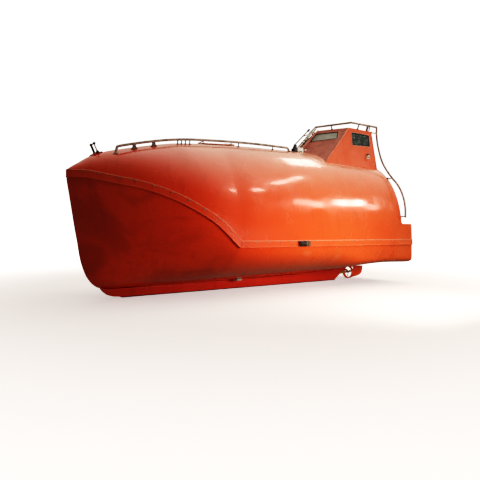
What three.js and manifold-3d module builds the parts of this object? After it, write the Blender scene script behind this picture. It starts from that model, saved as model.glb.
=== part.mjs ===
// Enclosed free-fall lifeboat, about 6 m long, millimetres, +Z up.
// +X points to the bow and +Y to port. Heights in the tables below are measured
// from the underside of the keel; the whole group is lowered at the end, so that
// the origin lies on the waterline, on the centre plane, amidships.
import * as THREE from 'three';
import * as BufferGeometryUtils from 'three/addons/utils/BufferGeometryUtils.js';
import Module from 'manifold-3d';

const wasm = await Module();
wasm.setup();

// Driving dimensions
const WATERLINE = 620;
const BOW_X = 2950;
const TRANSOM_X = -3000;
const HALF_BEAM = 1150;
const TAPER_START_X = 600;
const BULKHEAD_X = -2700;
const BULWARK_TOP = 1090;
const DECK_TOP = 831.5;
const DECK_THICKNESS = 31.5;
const JOINT_GAP = 0.3;
const SKIN = 45;
const TRANSOM_THICKNESS = 60;

// Gunwale band over the joint of the two mouldings
const BAND_HALF_DEPTH = 50;
const BAND_THICKNESS = 35;
const BAND_TIP_THICKNESS = 11;
const BAND_TAPER_X = 2000;
const BAND_AFT_X = -2972;
const BAND_TIP_X = 2935;
const BAND_CORNER_X = 910;
const BAND_MITRE = 0.37;

// Keel and its shoe
const KEEL_HALF_WIDTH = 45;
const SHOE_THICKNESS = 12;
const KEEL_AFT_X = -2100;
const KEEL_HEEL_X = -2452;
const KEEL_FORE_X = 2200;
const KEEL_TIP_X = 2500;

// Wheelhouse corners
const ROOF_HEIGHT = 2885;
const ROOF_HALF_WIDTH = 530;
const ROOF_AFT_X = -2608;
const ROOF_FORE_X = -1970;
const ROOF_APEX_X = -1670;
const BASE_HEIGHT = 2160;
const BASE_HALF_WIDTH = 620;
const BASE_AFT_X = -2667;
const BASE_FORE_X = -1260;
const PANEL = 40;

// Propeller, nozzle and their axes
const SHAFT_HEIGHT = 136;
const STOCK_X = -2531;
const NOZZLE_BORE = 103;
const NOZZLE_RADIUS = 126;
const PROPELLER_RADIUS = 92;
const TUBE_AFT_X = -2440;
const TUBE_FORE_X = -2195;

// Stern door and top hatch
const DOOR_WIDTH = 640;
const DOOR_BOTTOM = 1130;
const DOOR_TOP = 2130;
const DOOR_HINGE_Y = 352;
const DOOR_HINGE_HEIGHTS = [1280, 1980];
const HATCH_X = 700;
const HATCH_SIZE = 480;
const ENGINE_TOP = 740;
const HATCH_LAP = 28;
const HATCH_HINGE_X = HATCH_X - 290;
const HATCH_HINGE_Z = 2366;
const HATCH_HINGE_Y = [-130, 130];

const SECTION_STEPS = 12;

// Hull stations: sheer X, keel X, keel height, rise of the bottom, squareness
const HULL_STATIONS = [
  [-3000, -3000, 316, 66, 16],
  [-2655, -2655, 292, 112, 14],
  [-2000, -2000, 208, 200, 13],
  [-1300, -1300, 176, 180, 4.2],
  [-500, -500, 151, 205, 3],
  [300, 300, 135, 216, 2.6],
  [910, 940, 127, 225, 2.3],
  [1275, 1420, 122, 243, 2.05],
  [1500, 1680, 123, 251, 1.95],
  [1728, 1930, 129, 249, 1.85],
  [1980, 2150, 131, 240, 1.75],
  [2235, 2390, 130, 230, 1.65],
  [2440, 2550, 168, 200, 1.55],
  [2632, 2665, 285, 160, 1.45],
  [2780, 2742, 460, 120, 1.4],
  [2880, 2815, 830, 80, 1.3],
  [2935, 2905, 1380, 30, 1.2],
  [2947, 2944, 1620, 10, 1.1],
].map(([sheerX, keelX, keelHeight, rise, square]) => ({ sheerX, keelX, keelHeight, rise, square }));

// Canopy stations on the same sheer points: crown X, crown height, squareness
const CANOPY_STATIONS = [
  [-3000, 2300, 2.38],
  [-2655, 2300, 2.38],
  [-2000, 2350, 2.23],
  [-1300, 2398, 2.08],
  [-500, 2381, 2.13],
  [300, 2355, 2.1],
  [850, 2325, 2.1],
  [1250, 2288, 2.05],
  [1480, 2262, 2.05],
  [1720, 2218, 2],
  [1980, 2163, 2],
  [2235, 2103, 2],
  [2440, 2050, 1.95],
  [2632, 1972, 1.9],
  [2780, 1878, 1.85],
  [2880, 1812, 1.8],
  [2930, 1775, 1.8],
  [2946, 1766, 1.8],
].map(([crownX, crownHeight, square]) => ({ crownX, crownHeight, square }));

// Sheer line, where hull and canopy meet: X and height
const SHEER = [
  [-3000, 755],
  [910, 755],
  [1275, 1090],
  [1500, 1232],
  [1728, 1356],
  [1980, 1464],
  [2235, 1549],
  [2440, 1598],
  [2632, 1652],
  [2780, 1690],
  [2880, 1700],
  [2935, 1713],
  [2947, 1716],
];

const group = new THREE.Group();
group.position.z = -WATERLINE;

const COLOURS = {
  hull: 0xe04a20,
  canopy: 0xe8501f,
  band: 0xe65524,
  keel: 0xa82a18,
  steel: 0x8a8a86,
  dark: 0x1d1e20,
  glass: 0x3c4b4e,
  bronze: 0x8b6a35,
  white: 0xe6e6e0,
  grey: 0x6d7072,
};

function material(colour, roughness = 0.4, metalness = 0) {
  return new THREE.MeshStandardMaterial({ color: colour, roughness, metalness });
}

// Helpers: geometry to solid and back

function solidFromGeometry(geometry) {
  const bare = geometry.index ? geometry.clone() : geometry;
  bare.deleteAttribute('normal');
  bare.deleteAttribute('uv');
  const merged = BufferGeometryUtils.mergeVertices(bare, 1e-3);
  const vertProperties = new Float32Array(merged.attributes.position.array);
  const triVerts = new Uint32Array(merged.index.array);
  if (signedVolume(merged) < 0) {
    for (let i = 0; i < triVerts.length; i += 3) {
      [triVerts[i], triVerts[i + 1]] = [triVerts[i + 1], triVerts[i]];
    }
  }
  return new wasm.Manifold(new wasm.Mesh({ numProp: 3, vertProperties, triVerts }));
}

function geometryFromSolid(solid) {
  const mesh = solid.getMesh();
  const geometry = new THREE.BufferGeometry();
  geometry.setAttribute('position', new THREE.BufferAttribute(new Float32Array(mesh.vertProperties), 3));
  geometry.setIndex(new THREE.BufferAttribute(new Uint32Array(mesh.triVerts), 1));
  return geometry;
}

function addNode(name, solid, colour, roughness, metalness) {
  const mesh = new THREE.Mesh(geometryFromSolid(solid), material(colour, roughness, metalness));
  mesh.name = name;
  group.add(mesh);
  return mesh;
}

function box(x0, x1, y0, y1, z0, z1) {
  const geometry = new THREE.BoxGeometry(x1 - x0, y1 - y0, z1 - z0);
  geometry.translate((x0 + x1) / 2, (y0 + y1) / 2, (z0 + z1) / 2);
  return solidFromGeometry(geometry);
}

// Outline in X and height, extruded across from y0 to y1
function plateAcross(points, y0, y1) {
  const shape = new THREE.Shape(points.map(([x, z]) => new THREE.Vector2(x, z)));
  const geometry = new THREE.ExtrudeGeometry(shape, { depth: y1 - y0, bevelEnabled: false });
  geometry.rotateX(Math.PI / 2);
  geometry.translate(0, y1, 0);
  return solidFromGeometry(geometry);
}

// Cylinder between two points
function rod(start, end, radius, sides = 12) {
  const a = new THREE.Vector3(...start);
  const b = new THREE.Vector3(...end);
  const geometry = new THREE.CylinderGeometry(radius, radius, a.distanceTo(b), sides);
  const turn = new THREE.Quaternion().setFromUnitVectors(
    new THREE.Vector3(0, 1, 0), b.clone().sub(a).normalize());
  geometry.applyQuaternion(turn);
  const middle = a.add(b).multiplyScalar(0.5);
  geometry.translate(middle.x, middle.y, middle.z);
  return solidFromGeometry(geometry);
}

// Round tube through points, with 8 sides
function tube(points, radius, steps) {
  const path = new THREE.CatmullRomCurve3(points.map((p) => new THREE.Vector3(...p)), false, 'centripetal');
  const shape = new THREE.Shape();
  const sides = 8;
  for (let i = 0; i < sides; i += 1) {
    const angle = (i / sides) * Math.PI * 2;
    const x = radius * Math.cos(angle);
    const y = radius * Math.sin(angle);
    if (i === 0) shape.moveTo(x, y);
    else shape.lineTo(x, y);
  }
  const geometry = new THREE.ExtrudeGeometry(shape, { steps, extrudePath: path, bevelEnabled: false });
  return solidFromGeometry(geometry);
}

// Closed profile of radius and distance, turned about the X axis at a height
function turned(profile, originX, height, sides = 32) {
  const points = profile.map(([radius, along]) => new THREE.Vector2(radius, along));
  const geometry = new THREE.LatheGeometry(points, sides);
  geometry.rotateZ(-Math.PI / 2);
  geometry.translate(originX, 0, height);
  return solidFromGeometry(geometry);
}

// Solid from rings with the same number of points; the ends are closed by pairing
// the points of the two halves of a ring, and the two halves are split alike
function loft(rings) {
  const count = rings[0].length;
  const positions = [];
  const faces = [];
  rings.forEach((ring) => ring.forEach((p) => positions.push(p[0], p[1], p[2])));
  for (let i = 0; i + 1 < rings.length; i += 1) {
    for (let j = 0; j < count; j += 1) {
      const k = (j + 1) % count;
      const a = i * count + j;
      const b = i * count + k;
      const c = (i + 1) * count + k;
      const d = (i + 1) * count + j;
      if (j < (count - 1) / 2) faces.push(a, b, c, a, c, d);
      else faces.push(a, b, d, b, c, d);
    }
  }
  const half = Math.floor((count - 1) / 2);
  [0, rings.length - 1].forEach((ringIndex) => {
    const base = ringIndex * count;
    const flip = ringIndex === 0;
    for (let j = 0; j < half; j += 1) {
      const a = base + j;
      const b = base + j + 1;
      const c = base + count - 2 - j;
      const d = base + count - 1 - j;
      const quads = b === c ? [[a, b, d]] : [[a, b, c], [a, c, d]];
      quads.forEach(([p, q, r]) => {
        if (flip) faces.push(p, r, q);
        else faces.push(p, q, r);
      });
    }
  });
  const geometry = new THREE.BufferGeometry();
  geometry.setAttribute('position', new THREE.BufferAttribute(new Float32Array(positions), 3));
  geometry.setIndex(faces);
  return solidFromGeometry(geometry);
}

function signedVolume(geometry) {
  const p = geometry.attributes.position;
  const index = geometry.index.array;
  const [a, b, c] = [new THREE.Vector3(), new THREE.Vector3(), new THREE.Vector3()];
  let volume = 0;
  for (let i = 0; i < index.length; i += 3) {
    a.fromBufferAttribute(p, index[i]);
    b.fromBufferAttribute(p, index[i + 1]);
    c.fromBufferAttribute(p, index[i + 2]);
    volume += a.dot(b.cross(c)) / 6;
  }
  return volume;
}

// Form of the boat

function tableValue(table, x) {
  const last = table.length - 1;
  if (x <= table[0][0]) return table[0][1];
  for (let i = 0; i < last; i += 1) {
    const [x0, v0] = table[i];
    const [x1, v1] = table[i + 1];
    if (x <= x1) return v0 + ((v1 - v0) * (x - x0)) / (x1 - x0);
  }
  return table[last][1];
}

const sheerHeight = (x) => tableValue(SHEER, x);

function halfBreadth(x) {
  const t = Math.max(0, Math.min(1, (x - TAPER_START_X) / (BOW_X - TAPER_START_X)));
  return HALF_BEAM * (1 - t ** 2.2) ** 0.8;
}

function keelHeight(x) {
  return tableValue(HULL_STATIONS.map((s) => [s.keelX, s.keelHeight]), x);
}

// One half of a section as points from the sheer to the centre plane
function hullHalf(station, grow) {
  const breadth = halfBreadth(station.sheerX) + grow;
  const sheer = sheerHeight(station.sheerX);
  const bottom = station.keelHeight - grow;
  const points = [];
  for (let i = 0; i <= SECTION_STEPS; i += 1) {
    const angle = (Math.PI / 2) * (1 - i / SECTION_STEPS);
    const across = Math.sin(angle) ** (2 / station.square);
    const down = Math.max(0, Math.cos(angle)) ** (2 / station.square);
    const height = sheer - (sheer - bottom - station.rise * across) * down;
    const x = station.keelX + (station.sheerX - station.keelX) * ((height - bottom) / (sheer - bottom));
    points.push([x, breadth * across, height]);
  }
  return points;
}

function canopyHalf(station, sheerX, grow) {
  const breadth = halfBreadth(sheerX) + grow;
  const sheer = sheerHeight(sheerX) + JOINT_GAP;
  const crown = station.crownHeight + grow;
  const points = [];
  for (let i = 0; i <= SECTION_STEPS; i += 1) {
    const angle = (Math.PI / 2) * (i / SECTION_STEPS);
    const across = Math.max(0, Math.cos(angle)) ** (2 / station.square);
    const up = Math.sin(angle) ** (2 / station.square);
    const x = sheerX + (station.crownX - sheerX) * up;
    points.push([x, breadth * across, sheer + (crown - sheer) * up]);
  }
  return points;
}

// A half section and its mirror image as one ring that closes across the sheer
function ringFromHalf(half) {
  const mirror = half.slice(0, -1).reverse().map(([x, y, z]) => [x, -y, z]);
  return half.concat(mirror);
}

function liftSheer(half, lift) {
  const [x, y, z] = half[0];
  return [[x, y, z + lift]].concat(half);
}

function hullForm() {
  return loft(HULL_STATIONS.map((s) => ringFromHalf(hullHalf(s, 0))));
}

// The room that the hull takes with the joint gap, reaching into the canopy's
function hullRoom() {
  return loft(HULL_STATIONS.map((s) => ringFromHalf(liftSheer(hullHalf(s, JOINT_GAP), 2))));
}

function canopyForm(grow) {
  const rings = CANOPY_STATIONS.map((s, i) => ringFromHalf(canopyHalf(s, HULL_STATIONS[i].sheerX, grow)));
  return loft(rings);
}

const LAST_CAVITY_STATION = 15;

function hullCavity(skin) {
  const rings = HULL_STATIONS.slice(0, LAST_CAVITY_STATION).map((s, i) => {
    const half = liftSheer(hullHalf(s, -skin), 20);
    if (i > 0) return ringFromHalf(half);
    return ringFromHalf(half.map(([, y, z]) => [TRANSOM_X + TRANSOM_THICKNESS, y, z]));
  });
  return loft(rings);
}

function canopyCavity() {
  const rings = CANOPY_STATIONS.slice(0, LAST_CAVITY_STATION).map((s, i) => {
    const half = liftSheer(canopyHalf(s, HULL_STATIONS[i].sheerX, -SKIN), -20);
    if (i > 0) return ringFromHalf(half);
    return ringFromHalf(half.map(([, y, z]) => [TRANSOM_X + TRANSOM_THICKNESS, y, z]));
  });
  return loft(rings);
}

const canopySeat = canopyForm(JOINT_GAP);

// Hull, keel, bands

function buildHull() {
  const stockHole = rod([STOCK_X, 0, 200], [STOCK_X, 0, 500], 24.3, 24);
  const hull = hullForm().subtract(hullCavity(SKIN)).subtract(stockHole);
  addNode('hull_shell', hull, COLOURS.hull, 0.3);
}

function buildKeel() {
  const top = HULL_STATIONS.filter((s) => s.keelX > KEEL_HEEL_X && s.keelX < KEEL_TIP_X)
    .map((s) => [s.keelX, s.keelHeight - JOINT_GAP]);
  const outline = [
    [KEEL_HEEL_X, keelHeight(KEEL_HEEL_X) - JOINT_GAP],
    ...top,
    [KEEL_TIP_X, keelHeight(KEEL_TIP_X) - JOINT_GAP],
    [2460, 100],
    [2396, 46],
    [2330, 25],
    [KEEL_FORE_X, SHOE_THICKNESS + JOINT_GAP],
    [KEEL_AFT_X, SHOE_THICKNESS + JOINT_GAP],
  ];
  const fin = plateAcross(outline, -KEEL_HALF_WIDTH, KEEL_HALF_WIDTH);
  const tubeHole = rod([TUBE_AFT_X, 0, SHAFT_HEIGHT], [TUBE_FORE_X, 0, SHAFT_HEIGHT], 26.3, 24);
  addNode('keel', fin.subtract(tubeHole), COLOURS.keel, 0.45);
  const shoe = box(KEEL_AFT_X, KEEL_FORE_X, -KEEL_HALF_WIDTH, KEEL_HALF_WIDTH, 0, SHOE_THICKNESS);
  addNode('keel_shoe', shoe, COLOURS.dark, 0.6, 0.4);
}

// The band thins towards the stem, where its end lies flush
function bandThickness(x) {
  const share = Math.max(0, x - BAND_TAPER_X) / (BAND_TIP_X - BAND_TAPER_X);
  return BAND_THICKNESS + (BAND_TIP_THICKNESS - BAND_THICKNESS) * share;
}

// Band rings: rectangles square to the sheer line, on one side of the boat. They
// start a little inside the skin and are then cut to it
function bandRing(x, slope, side) {
  const dx = -Math.sin(slope) * BAND_HALF_DEPTH;
  const dz = Math.cos(slope) * BAND_HALF_DEPTH;
  const height = sheerHeight(x);
  const inside = halfBreadth(x) - 12;
  const outside = Math.max(halfBreadth(x + dx), halfBreadth(x)) + bandThickness(x);
  const ring = [
    [x + dx, inside, height + dz],
    [x + dx, outside, height + dz],
    [x - dx, outside, height - dz],
    [x - dx, inside, height - dz],
  ];
  return ring.map(([px, py, pz]) => [px, side * py, pz]);
}

function cutBand(rings) {
  return loft(rings).subtract(canopySeat).subtract(hullRoom());
}

function buildBands(side, name) {
  const level = [BAND_AFT_X, -2655, -2000, -1300, -500, 300, BAND_CORNER_X - JOINT_GAP];
  const straight = cutBand(level.map((x) => bandRing(x, x > 800 ? BAND_MITRE : 0, side)));
  addNode(`band_aft_${name}`, straight, COLOURS.band, 0.35);
  const rows = SHEER.slice(1, -1).map(([x, z], i) => {
    if (i === 0) return bandRing(BAND_CORNER_X + JOINT_GAP, BAND_MITRE, side);
    const [x0, z0] = SHEER[i];
    const [x1, z1] = SHEER[i + 2];
    const slope = x === BAND_TIP_X ? 0 : Math.atan2(z1 - z0, x1 - x0);
    return bandRing(x, slope, side);
  });
  addNode(`band_fore_${name}`, cutBand(rows), COLOURS.band, 0.35);
}

// Canopy, bulkhead, deck

// Room above the stern platform, aft of the bulkhead, with a rounded inner corner
function sternStep(shift) {
  const corner = 40;
  const outline = [[-3150, BULWARK_TOP], [BULKHEAD_X - corner - shift, BULWARK_TOP]];
  for (let i = 1; i <= 4; i += 1) {
    const angle = (Math.PI / 2) * (i / 4);
    outline.push([
      BULKHEAD_X - shift - corner + corner * Math.sin(angle),
      BULWARK_TOP + corner - corner * Math.cos(angle),
    ]);
  }
  outline.push([BULKHEAD_X - shift, 2700], [-3150, 2700]);
  return plateAcross(outline, -1400, 1400);
}

function buildCanopy() {
  const cupolaOpening = box(-2560, -1600, -470, 470, 1900, 2700);
  const half = HATCH_SIZE / 2;
  const hatchOpening = box(HATCH_X - half, HATCH_X + half, -half, half, 2000, 2700);
  const canopy = canopyForm(0)
    .subtract(canopyCavity())
    .subtract(sternStep(0))
    .subtract(cupolaOpening)
    .subtract(hatchOpening);
  addNode('canopy_shell', canopy, COLOURS.canopy, 0.3);
}

function buildBulkhead() {
  const thickness = 40;
  const ring = canopyHalf(CANOPY_STATIONS[1], BULKHEAD_X, -SKIN - JOINT_GAP);
  const plate = [BULKHEAD_X, BULKHEAD_X + thickness].map((x) => (
    ringFromHalf(ring.map(([, y, z]) => [x, y, z]))));
  const floorCut = box(-2800, -2500, -1400, 1400, 700, DECK_TOP - DECK_THICKNESS);
  const doorway = box(-2800, -2500, -DOOR_WIDTH / 2, DOOR_WIDTH / 2, DOOR_BOTTOM, DOOR_TOP);
  const bulkhead = loft(plate).subtract(floorCut).subtract(doorway);
  addNode('aft_bulkhead', bulkhead, COLOURS.canopy, 0.35);
  const deckHalf = HALF_BEAM - SKIN - 6;
  const deck = box(TRANSOM_X + TRANSOM_THICKNESS + JOINT_GAP, BULKHEAD_X - JOINT_GAP,
    -deckHalf, deckHalf, DECK_TOP - DECK_THICKNESS, DECK_TOP);
  addNode('stern_deck', deck, COLOURS.canopy, 0.6);
}

// Stern door with its hinges and lever

function buildDoor() {
  const lap = 30;
  const thickness = 34;
  const aft = BULKHEAD_X - 6 - thickness;
  const leaf = box(aft, BULKHEAD_X - 6, -DOOR_WIDTH / 2 - lap, DOOR_WIDTH / 2 + lap - 20,
    DOOR_BOTTOM - lap + 5, DOOR_TOP + lap);
  const porthole = rod([-2800, 0, 1850], [-2600, 0, 1850], 110, 24);
  let door = leaf.subtract(porthole);
  DOOR_HINGE_HEIGHTS.forEach((height) => {
    const strap = box(aft - 8, aft + 2, 120, DOOR_HINGE_Y - 4, height - 25, height + 25);
    const knuckle = rod([aft - 4, DOOR_HINGE_Y, height - 45.7], [aft - 4, DOOR_HINGE_Y, height + 45.7], 11);
    door = door.add(strap).add(knuckle);
  });
  const spindle = rod([aft - 40, -260, 1560], [aft + 5, -260, 1560], 14);
  const lever = box(aft - 46, aft - 30, -274, -120, 1548, 1572);
  door = door.add(spindle).add(lever);
  addNode('stern_door', door, COLOURS.canopy, 0.35);
  const pane = rod([aft + 4, 0, 1850], [aft + 20, 0, 1850], 109.6, 24);
  addNode('door_pane', pane, COLOURS.glass, 0.1);
  let hinges = null;
  DOOR_HINGE_HEIGHTS.forEach((height) => {
    let hinge = box(BULKHEAD_X - 9, BULKHEAD_X - JOINT_GAP, DOOR_HINGE_Y + 2, 430,
      height - 70, height + 70);
    [-1, 1].forEach((end) => {
      const centre = height + end * 56;
      const ear = box(aft - 4, BULKHEAD_X - 5, DOOR_HINGE_Y + 2, DOOR_HINGE_Y + 18,
        centre - 10, centre + 10);
      const knuckle = rod([aft - 4, DOOR_HINGE_Y, centre - 10], [aft - 4, DOOR_HINGE_Y, centre + 10], 11);
      hinge = hinge.add(ear).add(knuckle);
    });
    hinges = hinges ? hinges.add(hinge) : hinge;
  });
  DOOR_HINGE_HEIGHTS.forEach((height, i) => {
    const part = hinges.intersect(box(-3000, -2600, 300, 500, height - 100, height + 100));
    addNode(`door_hinge_${i + 1}`, part, COLOURS.steel, 0.35, 0.8);
  });
}

// Wheelhouse: panels with mitred edges between an outer and an inner set of corners

const sideY = (height, inset) => (
  ROOF_HALF_WIDTH + ((BASE_HALF_WIDTH - ROOF_HALF_WIDTH) * (ROOF_HEIGHT - height))
    / (ROOF_HEIGHT - BASE_HEIGHT) - inset);

// Front plane through the roof edge and the foot of the side panel: n . p = offset
const FRONT_PLANE = new THREE.Plane().setFromCoplanarPoints(
  new THREE.Vector3(ROOF_FORE_X, ROOF_HALF_WIDTH, ROOF_HEIGHT),
  new THREE.Vector3(BASE_FORE_X, BASE_HALF_WIDTH, BASE_HEIGHT),
  new THREE.Vector3(ROOF_APEX_X, 0, ROOF_HEIGHT));

function frontX(y, height, inset) {
  const { normal, constant } = FRONT_PLANE;
  const sign = Math.sign(normal.x);
  return (-constant - sign * inset - normal.y * y - normal.z * height) / normal.x;
}

const aftX = (height, inset) => (
  ROOF_AFT_X + ((BASE_AFT_X - ROOF_AFT_X) * (ROOF_HEIGHT - height)) / (ROOF_HEIGHT - BASE_HEIGHT) + inset);

function cornersAt(height, inset) {
  const y = sideY(height, inset);
  return {
    aft: [aftX(height, inset), y, height],
    fore: [frontX(y, height, inset), y, height],
    apex: [frontX(0, height, inset), 0, height],
  };
}

const mirrored = ([x, y, z]) => [x, -y, z];

// Slab between an outer face and an inner face with matching corners
function slab(outer, inner) {
  return loft([outer, inner]);
}

// Corners drawn in towards the middle of their face, to leave a joint gap
function drawnIn(corners, gap) {
  const middle = corners.reduce((sum, c) => sum.map((v, i) => v + c[i] / corners.length), [0, 0, 0]);
  return corners.map((c) => {
    const reach = Math.hypot(...c.map((v, i) => v - middle[i]));
    return c.map((v, i) => v + ((middle[i] - v) * gap) / reach);
  });
}

const WALL_TOP = ROOF_HEIGHT - PANEL - JOINT_GAP;
const WALL_FOOT = 2050;
const GLASS = 8;

function panelPair(pick) {
  const top = [0, PANEL].map((inset) => cornersAt(WALL_TOP, inset));
  const foot = [0, PANEL].map((inset) => cornersAt(WALL_FOOT, inset));
  return [0, 1].map((i) => drawnIn(pick(top[i], foot[i]), 0.6));
}

function sidePanel() {
  const [outer, inner] = panelPair((top, foot) => [top.aft, top.fore, foot.fore, foot.aft]);
  return slab(outer, inner);
}

function frontPanel() {
  const [outer, inner] = panelPair((top, foot) => [top.fore, top.apex, foot.apex, foot.fore]);
  return slab(outer, inner);
}

function aftPanel() {
  const [outer, inner] = panelPair((top, foot) => (
    [top.aft, mirrored(top.aft), mirrored(foot.aft), foot.aft]));
  return slab(outer, inner);
}

// A window's four corners on a face, as a prism from one depth to another
function windowPrism(corners, place, depths, shrink = 0) {
  const middle = corners.reduce((sum, c) => [sum[0] + c[0] / 4, sum[1] + c[1] / 4], [0, 0]);
  const drawn = corners.map((c) => {
    const reach = Math.hypot(c[0] - middle[0], c[1] - middle[1]);
    return [0, 1].map((i) => c[i] + ((middle[i] - c[i]) * shrink) / reach);
  });
  return loft(depths.map((depth) => drawn.map(([u, height]) => place(u, height, depth))));
}

// Window corners: distance along the face (X or Y) and height
const SIDE_WINDOW = [[-2507, 2798], [-2017, 2797], [-2005, 2552], [-2505, 2576]];
const FRONT_WINDOW = [[28, 2803], [405, 2810], [492, 2645], [48, 2628]];
const AFT_WINDOW = [[-260, 2790], [260, 2790], [260, 2560], [-260, 2560]];

const onSide = (x, height, depth) => [x, sideY(height, depth), height];
const onFront = (y, height, depth) => [frontX(y, height, depth), y, height];
const onAft = (y, height, depth) => [aftX(height, depth), y, height];

function paneAndPanel(panel, corners, place) {
  const hole = windowPrism(corners, place, [-30, PANEL + 30]);
  const pane = windowPrism(corners, place, [6, 6 + GLASS], 0.6);
  return [panel.subtract(canopySeat).subtract(hole), pane];
}

const flipY = (solid) => solid.mirror([0, 1, 0]);

function buildWheelhouse() {
  const [side, sidePane] = paneAndPanel(sidePanel(), SIDE_WINDOW, onSide);
  const [front, frontPane] = paneAndPanel(frontPanel(), FRONT_WINDOW, onFront);
  const [aft, aftPane] = paneAndPanel(aftPanel(), AFT_WINDOW, onAft);
  addNode('wheelhouse_side_port', side, COLOURS.canopy, 0.35);
  addNode('wheelhouse_side_stbd', flipY(side), COLOURS.canopy, 0.35);
  addNode('wheelhouse_front_port', front, 0xa0584a, 0.6);
  addNode('wheelhouse_front_stbd', flipY(front), 0xa0584a, 0.6);
  addNode('wheelhouse_aft', aft, COLOURS.canopy, 0.35);
  addNode('side_window_port', sidePane, COLOURS.glass, 0.1);
  addNode('side_window_stbd', flipY(sidePane), COLOURS.glass, 0.1);
  addNode('front_window_port', frontPane, 0x8f9c90, 0.15);
  addNode('front_window_stbd', flipY(frontPane), 0x8f9c90, 0.15);
  addNode('aft_window', aftPane, COLOURS.glass, 0.1);
  const { aft: a, fore: f, apex: p } = cornersAt(ROOF_HEIGHT, 0);
  const outline = [a, f, p, mirrored(f), mirrored(a)];
  const shape = new THREE.Shape(outline.map(([x, y]) => new THREE.Vector2(x, y)));
  const roof = new THREE.ExtrudeGeometry(shape, { depth: PANEL, bevelEnabled: false });
  roof.translate(0, 0, ROOF_HEIGHT - PANEL);
  addNode('wheelhouse_roof', solidFromGeometry(roof), COLOURS.canopy, 0.4);
}

// Helmsman's place, seen through the glass

function buildHelm() {
  const casing = box(-2230, -1900, -200, 200, ENGINE_TOP + JOINT_GAP, 1880);
  addNode('helm_casing', casing, COLOURS.grey, 0.6);
  const seat = box(-2420, -2020, -210, 210, 2130, 2200)
    .add(box(-2470, -2400, -210, 210, 2130, 2620))
    .add(box(-2280, -2140, -80, 80, 1880.3, 2140))
    .intersect(box(-2500, -1900, -300, 300, 1880.3, 2700));
  addNode('helm_seat', seat, 0x9c4a22, 0.7);
  const desk = plateAcross([[-1600.3, 2180], [-1600.3, 2390], [-1660, 2440], [-1800, 2395], [-1720, 2180]],
    -300, 300);
  const column = rod([-1720, 0, 2380], [-1854, 0, 2448], 14, 10);
  const wheel = new THREE.TorusGeometry(140, 12, 6, 18);
  wheel.rotateY(Math.PI / 2);
  wheel.rotateY(0.46);
  wheel.translate(-1850, 0, 2446);
  const spokes = rod([-1850, -135, 2446], [-1850, 135, 2446], 9, 8);
  addNode('helm_console', desk.add(column).add(spokes).add(solidFromGeometry(wheel)), COLOURS.grey, 0.6);
}

// Tubular rails; every foot is cut to the skin that it stands on

function railWithFeet(points, radius, steps, feet, footRadius = 9) {
  let solid = tube(points, radius, steps);
  feet.forEach(([from, to]) => {
    solid = solid.add(rod(from, to, footRadius, 8));
  });
  return solid.subtract(canopySeat);
}

const TOP_RAIL_Y = 330;
// Top rail: X and height of the tube's middle
const TOP_RAIL = [
  [2395, 1960], [2370, 2080], [2300, 2103], [2140, 2144], [1780, 2227], [1376, 2294],
  [929, 2332], [398, 2365], [-250, 2384], [-641, 2388], [-690, 2300],
];
const TOP_RAIL_FEET = [2140, 1780, 1376, 1163, 700, 398, -60, -450];

function railHeightAt(x) {
  const rows = TOP_RAIL.slice(2, -1).reverse();
  return tableValue(rows, x);
}

function buildTopRails() {
  const points = TOP_RAIL.map(([x, z]) => [x, TOP_RAIL_Y, z]);
  const feet = TOP_RAIL_FEET.map((x) => [
    [x, TOP_RAIL_Y, railHeightAt(x)], [x, TOP_RAIL_Y - 15, railHeightAt(x) - 190]]);
  const rail = railWithFeet(points, 14, 36, feet);
  addNode('top_rail_port', rail, COLOURS.steel, 0.35, 0.8);
  addNode('top_rail_stbd', flipY(rail), COLOURS.steel, 0.35, 0.8);
}

const RAIL_AFT_X = -2715;
const RAIL_FORE_X = -1996;
const RAIL_APEX_X = -1632;
const RAIL_Y = 560;
const RAIL_AFT_HEIGHT = 2978;
const RAIL_FORE_HEIGHT = 2970;
const RAIL_APEX_HEIGHT = 2943;

function buildRoofRail() {
  const aft = [RAIL_AFT_X, RAIL_Y, RAIL_AFT_HEIGHT];
  const fore = [RAIL_FORE_X, RAIL_Y, RAIL_FORE_HEIGHT];
  const apex = [RAIL_APEX_X, 0, RAIL_APEX_HEIGHT];
  const corners = [aft, fore, apex, mirrored(fore), mirrored(aft)];
  let rail = null;
  for (let i = 0; i + 1 < corners.length; i += 1) {
    const piece = rod(corners[i], corners[i + 1], 13, 8);
    rail = rail ? rail.add(piece) : piece;
  }
  corners.forEach((corner) => {
    const geometry = new THREE.SphereGeometry(14, 8, 6);
    geometry.translate(...corner);
    rail = rail.add(solidFromGeometry(geometry));
  });
  // Posts: the two corners they stand between, the share of the way, roof X, roof Y
  const posts = [
    [fore, aft, 0.3, -2212, 515],
    [fore, aft, 0.67, -2480, 515],
    [fore, apex, 0.56, -1830, 232],
  ];
  posts.forEach(([from, to, share, roofX, roofY]) => {
    const [x, y, height] = from.map((v, i) => v + (to[i] - v) * share);
    [1, -1].forEach((side) => {
      const foot = [roofX, side * roofY, ROOF_HEIGHT - 15];
      rail = rail.add(rod([x, side * y, height], foot, 9, 8));
    });
  });
  rail = rail.subtract(wheelhouseSeat());
  addNode('roof_rail', rail, COLOURS.steel, 0.35, 0.8);
}

// Aft handrails from the roof rail down to the canopy's after edge: Y and height
const AFT_RAIL = [
  [560, 2957], [560, 2820], [615, 2515], [700, 2270], [800, 2108], [915, 1960],
  [1045, 1810], [1120, 1680], [1178, 1520], [1203, 1360], [1205, 1215],
];

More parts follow.
